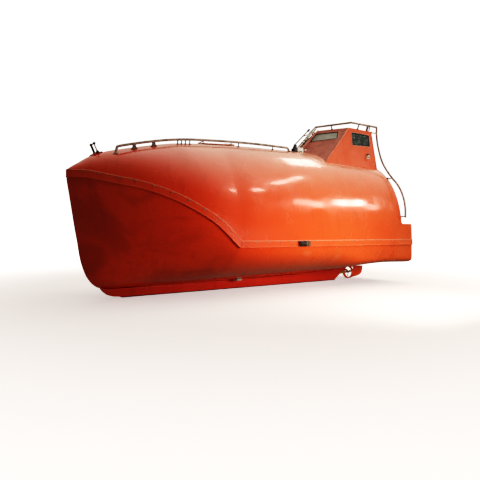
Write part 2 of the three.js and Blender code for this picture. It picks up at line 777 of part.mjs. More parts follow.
function buildAftRails() {
  const points = AFT_RAIL.map(([y, z]) => [RAIL_AFT_X, y, z]);
  let rail = tube(points, 13, 28);
  const feet = [
    [915, 1960, BULKHEAD_X + 20, 818, 1950],
    [1203, 1225, BULKHEAD_X + 20, 1095, 1222],
    [560, 2895, -2600, 515, 2866],
  ];
  feet.forEach(([y, z, endX, endY, endZ]) => {
    rail = rail.add(rod([RAIL_AFT_X, y, z], [endX, endY, endZ], 9, 8));
  });
  const canopyBehind = canopyForm(0).subtract(sternStep(JOINT_GAP));
  rail = rail.subtract(canopyBehind).subtract(wheelhouseSeat());
  addNode('aft_rail_port', rail, COLOURS.steel, 0.35, 0.8);
  addNode('aft_rail_stbd', flipY(rail), COLOURS.steel, 0.35, 0.8);
}

// Bow lug, lamp, brackets and other fittings

const LAMP_Y = 195;

function buildFittings() {
  const pad = canopyForm(16).intersect(box(2490, 2615, -95, 95, 1800, 2200));
  const legs = [-70, 70].map((y) => rod([2545, y, 1935], [2600, y, 2140], 13, 8));
  const cross = rod([2600, -83, 2140], [2600, 83, 2140], 13, 8);
  const lug = pad.add(legs[0]).add(legs[1]).add(cross).subtract(canopySeat);
  addNode('bow_lug', lug, COLOURS.dark, 0.45, 0.7);

  const lampFoot = box(-952, -872, LAMP_Y - 40, LAMP_Y + 40, 2300, 2450).subtract(canopySeat);
  addNode('lamp_mount', lampFoot, COLOURS.dark, 0.6);
  const tip = rod([-1130, LAMP_Y, 2446], [-1215, LAMP_Y, 2446], 14, 12);
  const collar = rod([-1080, LAMP_Y, 2446], [-1140, LAMP_Y, 2446], 22, 12);
  const lamp = box(-1100, -952.3, LAMP_Y - 45, LAMP_Y + 45, 2300, 2452)
    .add(collar).add(tip).subtract(canopySeat);
  addNode('canopy_lamp', lamp, COLOURS.white, 0.4);

  const sideLamp = box(-2415, -2350, 560, 655, 2318, 2385)
    .add(rod([-2382, 600, 2380], [-2382, 642, 2428], 15, 10))
    .subtract(wheelhouseSeat());
  addNode('side_lamp_port', sideLamp, COLOURS.white, 0.4);

  [1, -1].forEach((side) => {
    const name = side > 0 ? 'port' : 'stbd';
    const outer = HALF_BEAM + BAND_THICKNESS + 2 * JOINT_GAP;
    const bracket = bracketSolid(outer);
    addNode(`lashing_bracket_${name}`, side > 0 ? bracket : flipY(bracket), COLOURS.dark, 0.5, 0.6);
    const anode = box(248, 352, 170, 230, 138, 220).subtract(hullRoom());
    addNode(`anode_${name}`, side > 0 ? anode : flipY(anode), COLOURS.grey, 0.6, 0.5);
  });

  const hookPlate = box(TRANSOM_X - 16 - JOINT_GAP, TRANSOM_X - JOINT_GAP, -130, 130, 450, 730);
  let hook = hookPlate;
  [-1, 1].forEach((side) => {
    const outline = [[-10, 500], [-10, 690], [-100, 650], [-140, 590], [-100, 540]];
    const cheek = plateAcross(outline.map(([x, z]) => [TRANSOM_X + x, z]),
      side * 45 - 8, side * 45 + 8);
    hook = hook.add(cheek);
  });
  hook = hook.add(rod([TRANSOM_X - 95, -60, 592], [TRANSOM_X - 95, 60, 592], 15));
  addNode('release_hook', hook, COLOURS.steel, 0.4, 0.8);

  const engine = box(-2250, -1450, -260, 260, 200, ENGINE_TOP).intersect(hullCavity(SKIN + JOINT_GAP));
  addNode('engine_block', engine, COLOURS.grey, 0.6, 0.3);
}

function bracketSolid(y) {
  const base = box(-345, -120, y, y + 10, 712, 800);
  const aft = box(-330, -245, y + 5, y + 46, 718, 794);
  const fore = box(-215, -135, y + 5, y + 46, 718, 794);
  const pin = rod([-335, y + 28, 756], [-130, y + 28, 756], 11, 10);
  return base.add(aft).add(fore).add(pin);
}

function wheelhouseSeat() {
  const top = cornersAt(ROOF_HEIGHT + 0.3, -JOINT_GAP);
  const foot = cornersAt(WALL_FOOT, -JOINT_GAP);
  return loft([top, foot].map((c) => [c.aft, c.fore, c.apex, mirrored(c.fore), mirrored(c.aft)]));
}

// Rails that climb from the canopy's crown to the roof, ahead of the wheelhouse

function buildFrontRails() {
  const grab = tube([[-1120, 30, 2385], [-1150, 30, 2485], [-1200, 30, 2535], [-1420, 30, 2745],
    [-1596, 30, 2898]], 24, 16);
  const stay = tube([[-1250, -250, 2350], [-1265, -250, 2520], [-1310, -250, 2605], [-1500, -250, 2775],
    [-1690, -250, 2945]], 12, 16);
  const link = rod([-1530, -250, 2802], [-1470, 30, 2792], 8, 8);
  const knob = rod([-1655, -250, 2914], [-1700, -250, 2954], 19, 10);
  const rail = grab.add(stay).add(link).add(knob).subtract(canopySeat).subtract(wheelhouseSeat());
  addNode('front_rails', rail, 0xa39a90, 0.4, 0.6);
}

// Stern gear: tube and shaft, propeller, steering nozzle

function buildSternGear() {
  const tubeBody = rod([TUBE_AFT_X, 0, SHAFT_HEIGHT], [TUBE_FORE_X - JOINT_GAP, 0, SHAFT_HEIGHT], 26, 24)
    .subtract(rod([TUBE_AFT_X - 50, 0, SHAFT_HEIGHT], [-2290, 0, SHAFT_HEIGHT], 15.45, 24));
  addNode('stern_tube', tubeBody, COLOURS.bronze, 0.4, 0.8);

  const shaft = rod([STOCK_X, 0, SHAFT_HEIGHT], [-2300, 0, SHAFT_HEIGHT], 15, 16);
  const hub = turned([[0, 30], [16, 30], [19, 24], [19, -18], [15, -26], [7, -31], [0, -32]],
    STOCK_X, SHAFT_HEIGHT, 20);
  let propeller = shaft.add(hub);
  for (let i = 0; i < 3; i += 1) propeller = propeller.add(blade((i * 2 * Math.PI) / 3 + 0.4));
  addNode('propeller', propeller, COLOURS.bronze, 0.35, 0.9);

  const ring = turned([[NOZZLE_BORE + 8, 33], [NOZZLE_RADIUS - 4, 33], [NOZZLE_RADIUS, 22],
    [NOZZLE_RADIUS - 4, -33], [NOZZLE_BORE + 6, -33], [NOZZLE_BORE, -8], [NOZZLE_BORE, 14],
    [NOZZLE_BORE + 8, 33]], STOCK_X, SHAFT_HEIGHT, 36);
  // The fin reaches round the stream with two arms, so that the duct stays open
  const fin = plateAcross([[-2556, 16], [-2661, 31], [-2790, 47], [-2853, 62], [-2905, 88],
    [-2935, 120], [-2955, 180], [-2966, 252], [-2556, 256], [-2556, 241], [-2664, 234],
    [-2686, 212], [-2694, 140], [-2686, 74], [-2664, 52], [-2556, 31]], -9, 9);
  const stock = rod([STOCK_X, 0, 254], [STOCK_X, 0, 425], 14, 16);
  addNode('steering_nozzle', ring.add(fin).add(stock), COLOURS.hull, 0.4);

  const rudderTube = rod([STOCK_X, 0, 273], [STOCK_X, 0, 440], 24, 24)
    .subtract(rod([STOCK_X, 0, 200], [STOCK_X, 0, 430], 15, 16));
  addNode('rudder_tube', rudderTube, COLOURS.steel, 0.4, 0.8);
}

// One blade: an oval plate set at its pitch, standing on the hub
function blade(turn) {
  const shape = new THREE.Shape();
  shape.moveTo(-14, 12);
  shape.quadraticCurveTo(-46, 62, -12, 88);
  shape.quadraticCurveTo(22, 96, 34, 60);
  shape.quadraticCurveTo(36, 34, 14, 12);
  const geometry = new THREE.ExtrudeGeometry(shape, { depth: 7, bevelEnabled: false, curveSegments: 5 });
  geometry.translate(0, 0, -3.5);
  geometry.rotateY(Math.PI / 2 + 0.6);
  geometry.rotateX(turn);
  geometry.rotateX(Math.PI / 2);
  geometry.translate(STOCK_X, 0, SHAFT_HEIGHT);
  const reach = turned([[0, 40], [PROPELLER_RADIUS, 40], [PROPELLER_RADIUS, -40], [0, -40]],
    STOCK_X, SHAFT_HEIGHT, 36);
  return solidFromGeometry(geometry).intersect(reach);
}

// Escape hatch in the canopy's crown: a curved lid that lies close over the skin

function buildHatch() {
  const half = HATCH_SIZE / 2 + HATCH_LAP;
  const lap = box(HATCH_X - half, HATCH_X + half, -half, half, 2000, 2700);
  let lid = canopyForm(16).subtract(canopyForm(5.4)).intersect(lap);
  const handle = tube([[HATCH_X + 190, -80, 2316], [HATCH_X + 190, -78, 2362],
    [HATCH_X + 190, 78, 2362], [HATCH_X + 190, 80, 2316]], 7, 12);
  const lidSeat = canopyForm(10);
  lid = lid.add(handle.subtract(lidSeat));
  let hinges = null;
  HATCH_HINGE_Y.forEach((y) => {
    const strap = box(HATCH_HINGE_X - 6, HATCH_HINGE_X + 70, y - 16, y + 16, 2356, HATCH_HINGE_Z + 3)
      .add(box(HATCH_HINGE_X + 26, HATCH_HINGE_X + 70, y - 16, y + 16, 2348, 2358))
      .add(rod([HATCH_HINGE_X, y - 16, HATCH_HINGE_Z], [HATCH_HINGE_X, y + 16, HATCH_HINGE_Z], 10));
    lid = lid.add(strap);
    [-1, 1].forEach((end) => {
      const [y0, y1] = [y + end * 16.3, y + end * 34].sort((m, n) => m - n);
      const ear = box(HATCH_HINGE_X - 44, HATCH_HINGE_X + 2, y0, y1, 2300, HATCH_HINGE_Z)
        .add(rod([HATCH_HINGE_X, y0, HATCH_HINGE_Z], [HATCH_HINGE_X, y1, HATCH_HINGE_Z], 10));
      hinges = hinges ? hinges.add(ear) : ear;
    });
    hinges = hinges.add(box(HATCH_HINGE_X - 60, HATCH_HINGE_X - 20, y - 34, y + 34, 2300, HATCH_HINGE_Z - 8));
  });
  hinges = hinges.subtract(canopySeat);
  addNode('escape_hatch', lid, COLOURS.canopy, 0.4);
  [-1, 1].forEach((side, i) => {
    const part = hinges.intersect(box(0, 900, side > 0 ? 0 : -400, side > 0 ? 400 : 0, 2000, 2700));
    addNode(`hatch_hinge_${i + 1}`, part, COLOURS.steel, 0.35, 0.8);
  });
}

buildHull();
buildKeel();
buildBands(1, 'port');
buildBands(-1, 'stbd');
buildCanopy();
buildBulkhead();
buildDoor();
buildWheelhouse();
buildHelm();
buildTopRails();
buildRoofRail();
buildAftRails();
buildFrontRails();
buildFittings();
buildSternGear();
buildHatch();

export default group;
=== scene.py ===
"""Looks of an enclosed free-fall lifeboat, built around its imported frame.

Metres, +X to the bow, +Y to port, +Z up, origin on the waterline. Heights in the tables
are measured from the underside of the keel and are lowered by up().
"""

import math

import bmesh
import bpy
import numpy as np
from mathutils import Matrix, Vector


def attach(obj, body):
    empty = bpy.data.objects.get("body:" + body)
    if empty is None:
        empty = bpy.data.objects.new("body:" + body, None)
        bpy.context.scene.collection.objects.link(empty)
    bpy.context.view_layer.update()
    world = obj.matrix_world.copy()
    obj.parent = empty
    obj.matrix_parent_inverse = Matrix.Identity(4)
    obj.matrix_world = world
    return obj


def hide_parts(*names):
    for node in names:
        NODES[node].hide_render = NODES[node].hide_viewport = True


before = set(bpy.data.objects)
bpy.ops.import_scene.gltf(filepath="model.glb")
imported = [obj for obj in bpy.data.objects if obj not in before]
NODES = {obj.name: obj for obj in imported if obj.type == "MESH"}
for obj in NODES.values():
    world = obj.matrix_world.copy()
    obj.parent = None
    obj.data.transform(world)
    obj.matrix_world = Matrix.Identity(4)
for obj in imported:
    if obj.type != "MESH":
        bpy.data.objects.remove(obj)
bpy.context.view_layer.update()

# Main sizes, as in the part
WATERLINE = 0.62
TRANSOM_X = -3.0
BOW_X = 2.95
HALF_BEAM = 1.15
TAPER_START_X = 0.6
# Powers of the plan curve from the taper's start to the bow
TAPER_POWER = 2.2
TAPER_ROOT = 0.8
BULKHEAD_X = -2.7
BULWARK_TOP = 1.09
SKIN = 0.045
TRANSOM_THICKNESS = 0.06
LAST_CAVITY_STATION = 14
EDGE_RADIUS = 0.014
SHAFT_HEIGHT = 0.136
STOCK_X = -2.531

# Hull stations: sheer X, keel X, keel height, rise of the bottom, squareness
HULL_STATIONS = np.array([
    [-3.0, -3.0, 0.316, 0.066, 16],
    [-2.655, -2.655, 0.292, 0.112, 14],
    [-2.0, -2.0, 0.208, 0.2, 13],
    [-1.3, -1.3, 0.176, 0.18, 4.2],
    [-0.5, -0.5, 0.151, 0.205, 3],
    [0.3, 0.3, 0.135, 0.216, 2.6],
    [0.91, 0.94, 0.127, 0.225, 2.3],
    [1.275, 1.42, 0.122, 0.243, 2.05],
    [1.5, 1.68, 0.123, 0.251, 1.95],
    [1.728, 1.93, 0.129, 0.249, 1.85],
    [1.98, 2.15, 0.131, 0.24, 1.75],
    [2.235, 2.39, 0.13, 0.23, 1.65],
    [2.44, 2.55, 0.168, 0.2, 1.55],
    [2.632, 2.665, 0.285, 0.16, 1.45],
    [2.78, 2.742, 0.46, 0.12, 1.4],
    [2.88, 2.815, 0.83, 0.08, 1.3],
    [2.935, 2.905, 1.38, 0.03, 1.2],
    [2.947, 2.944, 1.62, 0.01, 1.1],
])

# Canopy stations on the same sheer points: crown X, crown height, squareness
CANOPY_STATIONS = np.array([
    [-3.0, 2.3, 2.38],
    [-2.655, 2.3, 2.38],
    [-2.0, 2.35, 2.23],
    [-1.3, 2.398, 2.08],
    [-0.5, 2.381, 2.13],
    [0.3, 2.355, 2.1],
    [0.85, 2.325, 2.1],
    [1.25, 2.288, 2.05],
    [1.48, 2.262, 2.05],
    [1.72, 2.218, 2],
    [1.98, 2.163, 2],
    [2.235, 2.103, 2],
    [2.44, 2.05, 1.95],
    [2.632, 1.972, 1.9],
    [2.78, 1.878, 1.85],
    [2.88, 1.812, 1.8],
    [2.93, 1.775, 1.8],
    [2.946, 1.766, 1.8],
])

# Sheer line forward of the band's corner: X and height
SHEER_CORNER_X = 0.91
SHEER_LEVEL = 0.755
SHEER_RISE = np.array([
    [0.91, 0.755], [1.275, 1.09], [1.5, 1.232], [1.728, 1.356], [1.98, 1.464], [2.235, 1.549],
    [2.44, 1.598], [2.632, 1.652], [2.78, 1.69], [2.88, 1.7], [2.935, 1.713], [2.947, 1.716],
])


def up(height):
    """Row height of a height above the keel's underside."""
    return height - WATERLINE


# Curves and sections


class Track:
    """Smooth curve through a column of values: cubic pieces with three-point slopes."""

    def __init__(self, knots, values):
        self.knots = np.array(knots, float)
        self.values = np.array(values, float)
        step = np.diff(self.knots)
        chord = np.diff(self.values) / step
        middle = (chord[:-1] * step[1:] + chord[1:] * step[:-1]) / (step[1:] + step[:-1])
        self.slope = np.concatenate([chord[:1], middle, chord[-1:]])

    def __call__(self, x):
        x = np.clip(x, self.knots[0], self.knots[-1])
        i = np.clip(np.searchsorted(self.knots, x, side="right") - 1, 0, len(self.knots) - 2)
        step = self.knots[i + 1] - self.knots[i]
        t = (x - self.knots[i]) / step
        low = self.values[i] * (2 * t**3 - 3 * t**2 + 1) + self.slope[i] * step * (t**3 - 2 * t**2 + t)
        high = self.values[i + 1] * (3 * t**2 - 2 * t**3) + self.slope[i + 1] * step * (t**3 - t**2)
        return low + high


def along(points):
    """Distance along a line of points, from its first one."""
    steps = np.linalg.norm(np.diff(np.array(points, float), axis=0), axis=1)
    return np.concatenate([[0], np.cumsum(steps)])


STATION_REACH = along(HULL_STATIONS[:, 1:3])
SHEER_X, KEEL_X, KEEL_HEIGHT, RISE, HULL_SQUARE = [
    Track(STATION_REACH, HULL_STATIONS[:, i]) for i in range(5)]
CROWN_X, CROWN_HEIGHT, CANOPY_SQUARE = [
    Track(STATION_REACH, CANOPY_STATIONS[:, i]) for i in range(3)]
RISING_SHEER = Track(SHEER_RISE[:, 0], SHEER_RISE[:, 1])


def sheer_height(x):
    return np.where(np.array(x) <= SHEER_CORNER_X, SHEER_LEVEL, RISING_SHEER(x))


def half_breadth(x):
    t = np.clip((np.array(x, float) - TAPER_START_X) / (BOW_X - TAPER_START_X), 0, 1)
    return HALF_BEAM * (1 - t**TAPER_POWER)**TAPER_ROOT


def evenly(points, count):
    """The same line with its points at even distances."""
    reach = along(points)
    wanted = np.linspace(0, reach[-1], count)
    return np.stack([np.interp(wanted, reach, points[:, i]) for i in range(3)], axis=1)


SECTION_SAMPLES = 240


def hull_half(place, grow, count):
    """Port half of a hull section, from the sheer down to the keel."""
    angle = np.linspace(math.pi / 2, 0, SECTION_SAMPLES)
    power = 2 / HULL_SQUARE(place)
    across = np.sin(angle)**power
    down = np.maximum(0, np.cos(angle))**power
    sheer_x = SHEER_X(place)
    keel_x = KEEL_X(place)
    sheer = sheer_height(sheer_x)
    bottom = KEEL_HEIGHT(place) - grow
    height = sheer - (sheer - bottom - RISE(place) * across) * down
    x = keel_x + (sheer_x - keel_x) * (height - bottom) / (sheer - bottom)
    points = np.stack([x, (half_breadth(sheer_x) + grow) * across, up(height)], axis=1)
    return evenly(points, count)


def canopy_half(place, grow, count):
    """Port half of a canopy section, from the sheer up to the crown."""
    angle = np.linspace(0, math.pi / 2, SECTION_SAMPLES)
    power = 2 / CANOPY_SQUARE(place)
    across = np.maximum(0, np.cos(angle))**power
    rise = np.sin(angle)**power
    sheer_x = SHEER_X(place)
    sheer = sheer_height(sheer_x)
    crown = CROWN_HEIGHT(place) + grow
    x = sheer_x + (CROWN_X(place) - sheer_x) * rise
    height = sheer + (crown - sheer) * rise
    points = np.stack([x, (half_breadth(sheer_x) + grow) * across, up(height)], axis=1)
    return evenly(points, count)


# Mesh building

# Radius that stands for a point in a turned profile
POINT_RADIUS = 1e-5
# Edges sharper than these degrees stay sharp: fittings, round tubes
SMOOTH_ANGLE = 40
TUBE_SMOOTH = 50


def circle(radius, sides):
    """Points round a circle, as (across, up)."""
    turns = [2 * math.pi * i / sides for i in range(sides)]
    return [(radius * math.cos(turn), radius * math.sin(turn)) for turn in turns]


class Shape:
    """Points and faces of one piece, gathered from its parts."""

    def __init__(self):
        self.points = []
        self.faces = []
        self.slots = []

    def add(self, points, faces, slot=0):
        base = len(self.points)
        self.points.extend([tuple(float(v) for v in p) for p in points])
        self.faces.extend([tuple(base + i for i in face) for face in faces])
        self.slots.extend([slot] * len(faces))
        return self

    def rings(self, rings, slot=0, closed=False):
        """Skin over rings of the same number of points, with end caps unless it is closed."""
        count = len(rings[0])
        points = [p for ring in rings for p in ring]
        faces = []
        rows = len(rings) if closed else len(rings) - 1
        for i in range(rows):
            for j in range(count):
                k = (j + 1) % count
                a, b = i * count, ((i + 1) % len(rings)) * count
                faces.append((a + j, a + k, b + k, b + j))
        if not closed:
            faces.append(tuple(range(count))[::-1])
            faces.append(tuple(range((len(rings) - 1) * count, len(rings) * count)))
        return self.add(points, faces, slot)

    def sweep(self, path, outline, slot=0, closed=False, upright=None):
        """Outline (across, up) carried along a path of points, without twist."""
        path = [Vector(p) for p in path]
        total = len(path)
        rings = []
        side = None
        for i, point in enumerate(path):
            before = path[i - 1] if closed or i > 0 else path[0]
            after = path[(i + 1) % total] if closed or i + 1 < total else path[-1]
            run = (after - before).normalized()
            if upright is not None:
                side = run.cross(Vector(upright)).normalized()
            elif side is None:
                seed = Vector((0, 0, 1)) if abs(run.z) < 0.9 else Vector((1, 0, 0))
                side = run.cross(seed).normalized()
            else:
                side = (side - run * side.dot(run)).normalized()
            rise = side.cross(run).normalized()
            rings.append([point + side * a + rise * b for a, b in outline])
        return self.rings(rings, slot, closed)

    def tube(self, path, radius, slot=0, sides=14, closed=False):
        return self.sweep(path, circle(radius, sides), slot, closed)

    def lathe(self, profile, origin, axis, slot=0, sides=24):
        """Profile of (radius, distance along the axis) turned about an axis."""
        axis = Vector(axis).normalized()
        turn = Vector((0, 0, 1)).rotation_difference(axis).to_matrix()
        rings = []
        for radius, distance in profile:
            rings.append([Vector(origin) + turn @ Vector((x, y, distance))
                          for x, y in circle(max(radius, POINT_RADIUS), sides)])
        return self.rings(rings, slot)

    def block(self, low, high, radius=0.004, slot=0, segments=2):
        """Box with rounded edges."""
        low, high = Vector(low), Vector(high)
        mesh = bmesh.new()
        bmesh.ops.create_cube(mesh, size=1)
        size = high - low
        for v in mesh.verts:
            v.co = Vector((v.co.x * size.x, v.co.y * size.y, v.co.z * size.z)) + (low + high) / 2
        bmesh.ops.bevel(mesh, geom=mesh.edges[:], offset=min(radius, min(size) * 0.45),
                        segments=segments, profile=0.5, affect="EDGES", clamp_overlap=True)
        return self.take(mesh, slot)

    def take(self, mesh, slot=0):
        """Adds the points and faces of a bmesh and frees it."""
        mesh.verts.index_update()
        points = [v.co.copy() for v in mesh.verts]
        faces = [tuple(v.index for v in f.verts) for f in mesh.faces]
        mesh.free()
        return self.add(points, faces, slot)

    def mirrored(self):
        """The same piece on the other side of the boat."""
        other = Shape()
        other.points = [(x, -y, z) for x, y, z in self.points]
        other.faces = [face[::-1] for face in self.faces]
        other.slots = list(self.slots)
        return other

    def build(self, name, looks, smooth_angle=SMOOTH_ANGLE):
        """Object of this shape; looks are the names of its materials, in the order of its slots."""
        mesh = bpy.data.meshes.new(name)
        mesh.from_pydata(self.points, [], self.faces)
        mesh.validate()
        for look in looks.split():
            mesh.materials.append(LOOKS[look])
        for polygon, slot in zip(mesh.polygons, self.slots):
            polygon.material_index = slot
        clean_normals(mesh)
        smooth_by_angle(mesh, smooth_angle)
        piece = bpy.data.objects.new(name, mesh)
        bpy.context.scene.collection.objects.link(piece)
        return piece


def clean_normals(mesh):
    work = bmesh.new()
    work.from_mesh(mesh)
    bmesh.ops.recalc_face_normals(work, faces=work.faces[:])
    work.to_mesh(mesh)
    work.free()


def smooth_by_angle(mesh, degrees=SMOOTH_ANGLE):
    mesh.shade_smooth()
    mesh.set_sharp_from_angle(angle=math.radians(degrees))


def settle(piece, slot, *replaced, body="boat"):
    """Puts a finished piece on its body in place of the nodes that it stands for; its finish, slot, is
    not used.
    """
    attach(piece, body)
    if replaced:
        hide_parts(*replaced)
    return piece


def settle_pair(shape, node, ending, looks, smooth_angle, slot):
    """The port piece and its mirror image, each in place of its own node."""
    for side, half in (("port", shape), ("stbd", shape.mirrored())):
        name = f"{node}_{side}"
        settle(half.build(f"{name}_{ending}", looks, smooth_angle), slot, name)


def bake_modifiers(piece):
    graph = bpy.context.evaluated_depsgraph_get()
    fresh = bpy.data.meshes.new_from_object(piece.evaluated_get(graph))
    piece.modifiers.clear()
    piece.data = fresh


def cut(piece, cutter):
    """Takes a cutter's room out of a piece and removes the cutter."""
    step = piece.modifiers.new("cut", "BOOLEAN")
    step.operation = "DIFFERENCE"
    step.solver = "EXACT"
    step.object = cutter
    bpy.context.view_layer.update()
    bake_modifiers(piece)
    bpy.data.objects.remove(cutter)


def flat_box(name, low, high, looks):
    (x0, y0, z0), (x1, y1, z1) = low, high
    corners = [(x, y, z) for z in (z0, z1) for x, y in ((x0, y0), (x1, y0), (x1, y1), (x0, y1))]
    faces = [(0, 3, 2, 1), (4, 5, 6, 7), (0, 1, 5, 4), (1, 2, 6, 5), (2, 3, 7, 6), (3, 0, 4, 7)]
    return Shape().add(corners, faces).build(name, looks)


def through(points, count):
    """Smooth line of count points through a few given ones."""
    points = np.array(points, float)
    reach = along(points)
    wanted = np.linspace(0, reach[-1], count)
    return np.stack([Track(reach, points[:, i])(wanted) for i in range(3)], axis=1)


# Materials


class Nodes:
    """Short ways to add shader nodes to the tree of a material or of the world."""

    def __init__(self, tree):
        self.tree = tree
        tree.nodes.clear()

    def node(self, kind, values=None):
        node = self.tree.nodes.new(kind)
        for socket, value in (values or {}).items():
            self.fill(node.inputs[socket], value)
        return node

    def fill(self, socket, value):
        if isinstance(value, bpy.types.NodeSocket):
            self.tree.links.new(value, socket)
        else:
            socket.default_value = value

    def spread(self, value, low, high, start=0.0, end=1.0, kind="SMOOTHSTEP"):
        """Value mapped from low and high to start and end."""
        node = self.node("ShaderNodeMapRange", {"Value": value, "From Min": low, "From Max": high,
                                                "To Min": start, "To Max": end})
        node.interpolation_type = kind
        return node.outputs["Result"]

    def math(self, kind, first, second=0.0, third=0.0):
        node = self.node("ShaderNodeMath", {0: first, 1: second, 2: third})
        node.operation = kind
        return node.outputs[0]

    def times(self, first, *others):
        for other in others:
            first = self.math("MULTIPLY", first, other)
        return first

    def mix(self, factor, first, second):
        """Colour between two others."""
        node = self.node("ShaderNodeMix", {0: factor})
        node.data_type = "RGBA"
        inputs = [s for s in node.inputs if s.type == "RGBA"]
        self.fill(inputs[0], first)
        self.fill(inputs[1], second)
        return [s for s in node.outputs if s.type == "RGBA"][0]


class Look(Nodes):
    """A procedural material on object coordinates, with a Principled shader."""

    def __init__(self, name, **values):
        self.material = bpy.data.materials.new(name)
        self.material.use_nodes = True
        super().__init__(self.material.node_tree)
        self.shader = self.node("ShaderNodeBsdfPrincipled")
        self.node("ShaderNodeOutputMaterial", {"Surface": self.shader.outputs["BSDF"]})
        self.coords = self.node("ShaderNodeTexCoord").outputs["Object"]
        self.finish(**values)

    def finish(self, **values):
        """Sets the shader's sockets and gives the material."""
        for socket, value in values.items():
            self.fill(self.shader.inputs[socket.replace("_", " ")], value)
        return self.material

    def stretched(self, scale, shift=(0, 0, 0)):
        values = {"Vector": self.coords, "Scale": scale, "Location": shift}
        return self.node("ShaderNodeMapping", values).outputs["Vector"]

    def noise(self, scale, detail=4, rough=0.55, vector=None, distortion=0.0):
        values = {"Vector": vector or self.coords, "Scale": scale, "Detail": detail,
                  "Roughness": rough, "Distortion": distortion}
        return self.node("ShaderNodeTexNoise", values).outputs["Fac"]

    def bump(self, height, strength, distance, after=None):
        values = {"Height": height, "Strength": strength, "Distance": distance}
        node = self.node("ShaderNodeBump", values)
        if after is not None:
            self.fill(node.inputs["Normal"], after)
        return node.outputs["Normal"]

    def forward(self):
        """Place along the boat."""
        return self.node("ShaderNodeSeparateXYZ", {0: self.coords}).outputs["X"]

    def facing_up(self):
        """How much the surface faces up, in the boat's own frame."""
        normal = self.node("ShaderNodeTexCoord").outputs["Normal"]
        return self.node("ShaderNodeSeparateXYZ", {0: normal}).outputs["Z"]

    def distance_from(self, centre, stretch=(1, 1, 1)):
        """Distance from a point on the boat, for a mark that lies there."""
        mapped = self.stretched(stretch, tuple(-c * s for c, s in zip(centre, stretch)))
        node = self.node("ShaderNodeVectorMath", {0: mapped})
        node.operation = "LENGTH"
        return node.outputs["Value"]


def tone(red, green, blue):
    """Linear colour from an sRGB one of 0 to 255."""
    return tuple((v / 255 / 12.92) if v <= 10 else ((v / 255 + 0.055) / 1.055)**2.4
                 for v in (red, green, blue)) + (1.0,)


def darker(colour, share):
    return tuple(v * share for v in colour[:3]) + (1.0,)


# Pale dust colour, also used as painted sky sheen on the faces that look up
DUST_AND_SHEEN = tone(236, 182, 158)
DUST_SHEEN_FORE_X = 2.4
DUST_SHEEN_FULL_X = 0.9
# Painted light: the after part, where the studio light falls, is painted a lighter orange than the bow
AFT_LIGHT_ORANGE = tone(218, 94, 48)
AFT_LIGHT_FORE_X = 1.9
AFT_LIGHT_AFT_X = -1.0
# Dark cloudy blotches on the hull's fore part: grime, and painted shade where the bow turns from the
# light
BOW_SHADE_AFT_X = 0.3
BOW_SHADE_FORE_X = 1.3


def faded_and_lit_aft(look, base, faded, aft_light):
    """Base colour, painted a lighter orange aft where the light falls, with faded patches and a fine
    mottle.
    """
    patches = look.spread(look.noise(0.9, 5, 0.6), 0.35, 0.72)
    mottle = look.spread(look.noise(7.0, 6, 0.65), 0.4, 0.75, 0.0, 0.5)
    # Painted light: the base turns a lighter orange towards the stern
    aft = look.spread(look.forward(), AFT_LIGHT_AFT_X, AFT_LIGHT_FORE_X, aft_light, 0.0)
    colour = look.mix(look.times(patches, 0.5), look.mix(aft, base, AFT_LIGHT_ORANGE), faded)
    return look.mix(look.times(mottle, 0.35), colour, faded)


def clouded_bow_shade(look, colour, base, bow_shade_clouds):
    """Large dark blotches on the fore part: grime, and painted shade on the bow."""
    fore = look.spread(look.forward(), BOW_SHADE_AFT_X, BOW_SHADE_FORE_X, 0.0, bow_shade_clouds)
    cloud = look.noise(1.3, 5, 0.5, look.stretched((1.0, 1.0, 1.7)), 0.8)
    return look.mix(look.times(look.spread(cloud, 0.42, 0.64), fore), colour, darker(base, 0.4))


def dust_and_sky_sheen(look, colour, dust):
    """Pale dusting and painted sky sheen on the faces that look up, thicker aft towards the light."""
    up_faces = look.spread(look.facing_up(), 0.18, 1.0)
    aft = look.spread(look.forward(), DUST_SHEEN_FULL_X, DUST_SHEEN_FORE_X, 1.0, 0.0)
    cloud = look.spread(look.noise(2.2, 6, 0.6), 0.25, 0.7, 0.7, 1.0)
    return look.mix(look.times(up_faces, aft, cloud, dust), colour, DUST_AND_SHEEN)


def marked(look, colour, mark):
    """One blot: its centre, stretch, size, colour and amount."""
    centre, stretch, size, dark, amount = mark
    reach = look.spread(look.distance_from(centre, stretch), size * 0.25, size, 1.0, 0.0)
    blot = look.spread(look.noise(14.0, 6, 0.7), 0.38, 0.66)
    return look.mix(look.times(reach, blot, amount), colour, dark)


def wavy(look, wave):
    """Slightly unfair surface with a fine orange peel."""
    fair = look.bump(look.noise(1.5, 2, 0.4), 0.5, 0.012 * wave)
    fair = look.bump(look.noise(5.0, 3, 0.5), 0.3, 0.008 * wave, fair)
    return look.bump(look.noise(55.0, 3, 0.5), 0.12, 0.0012, fair)


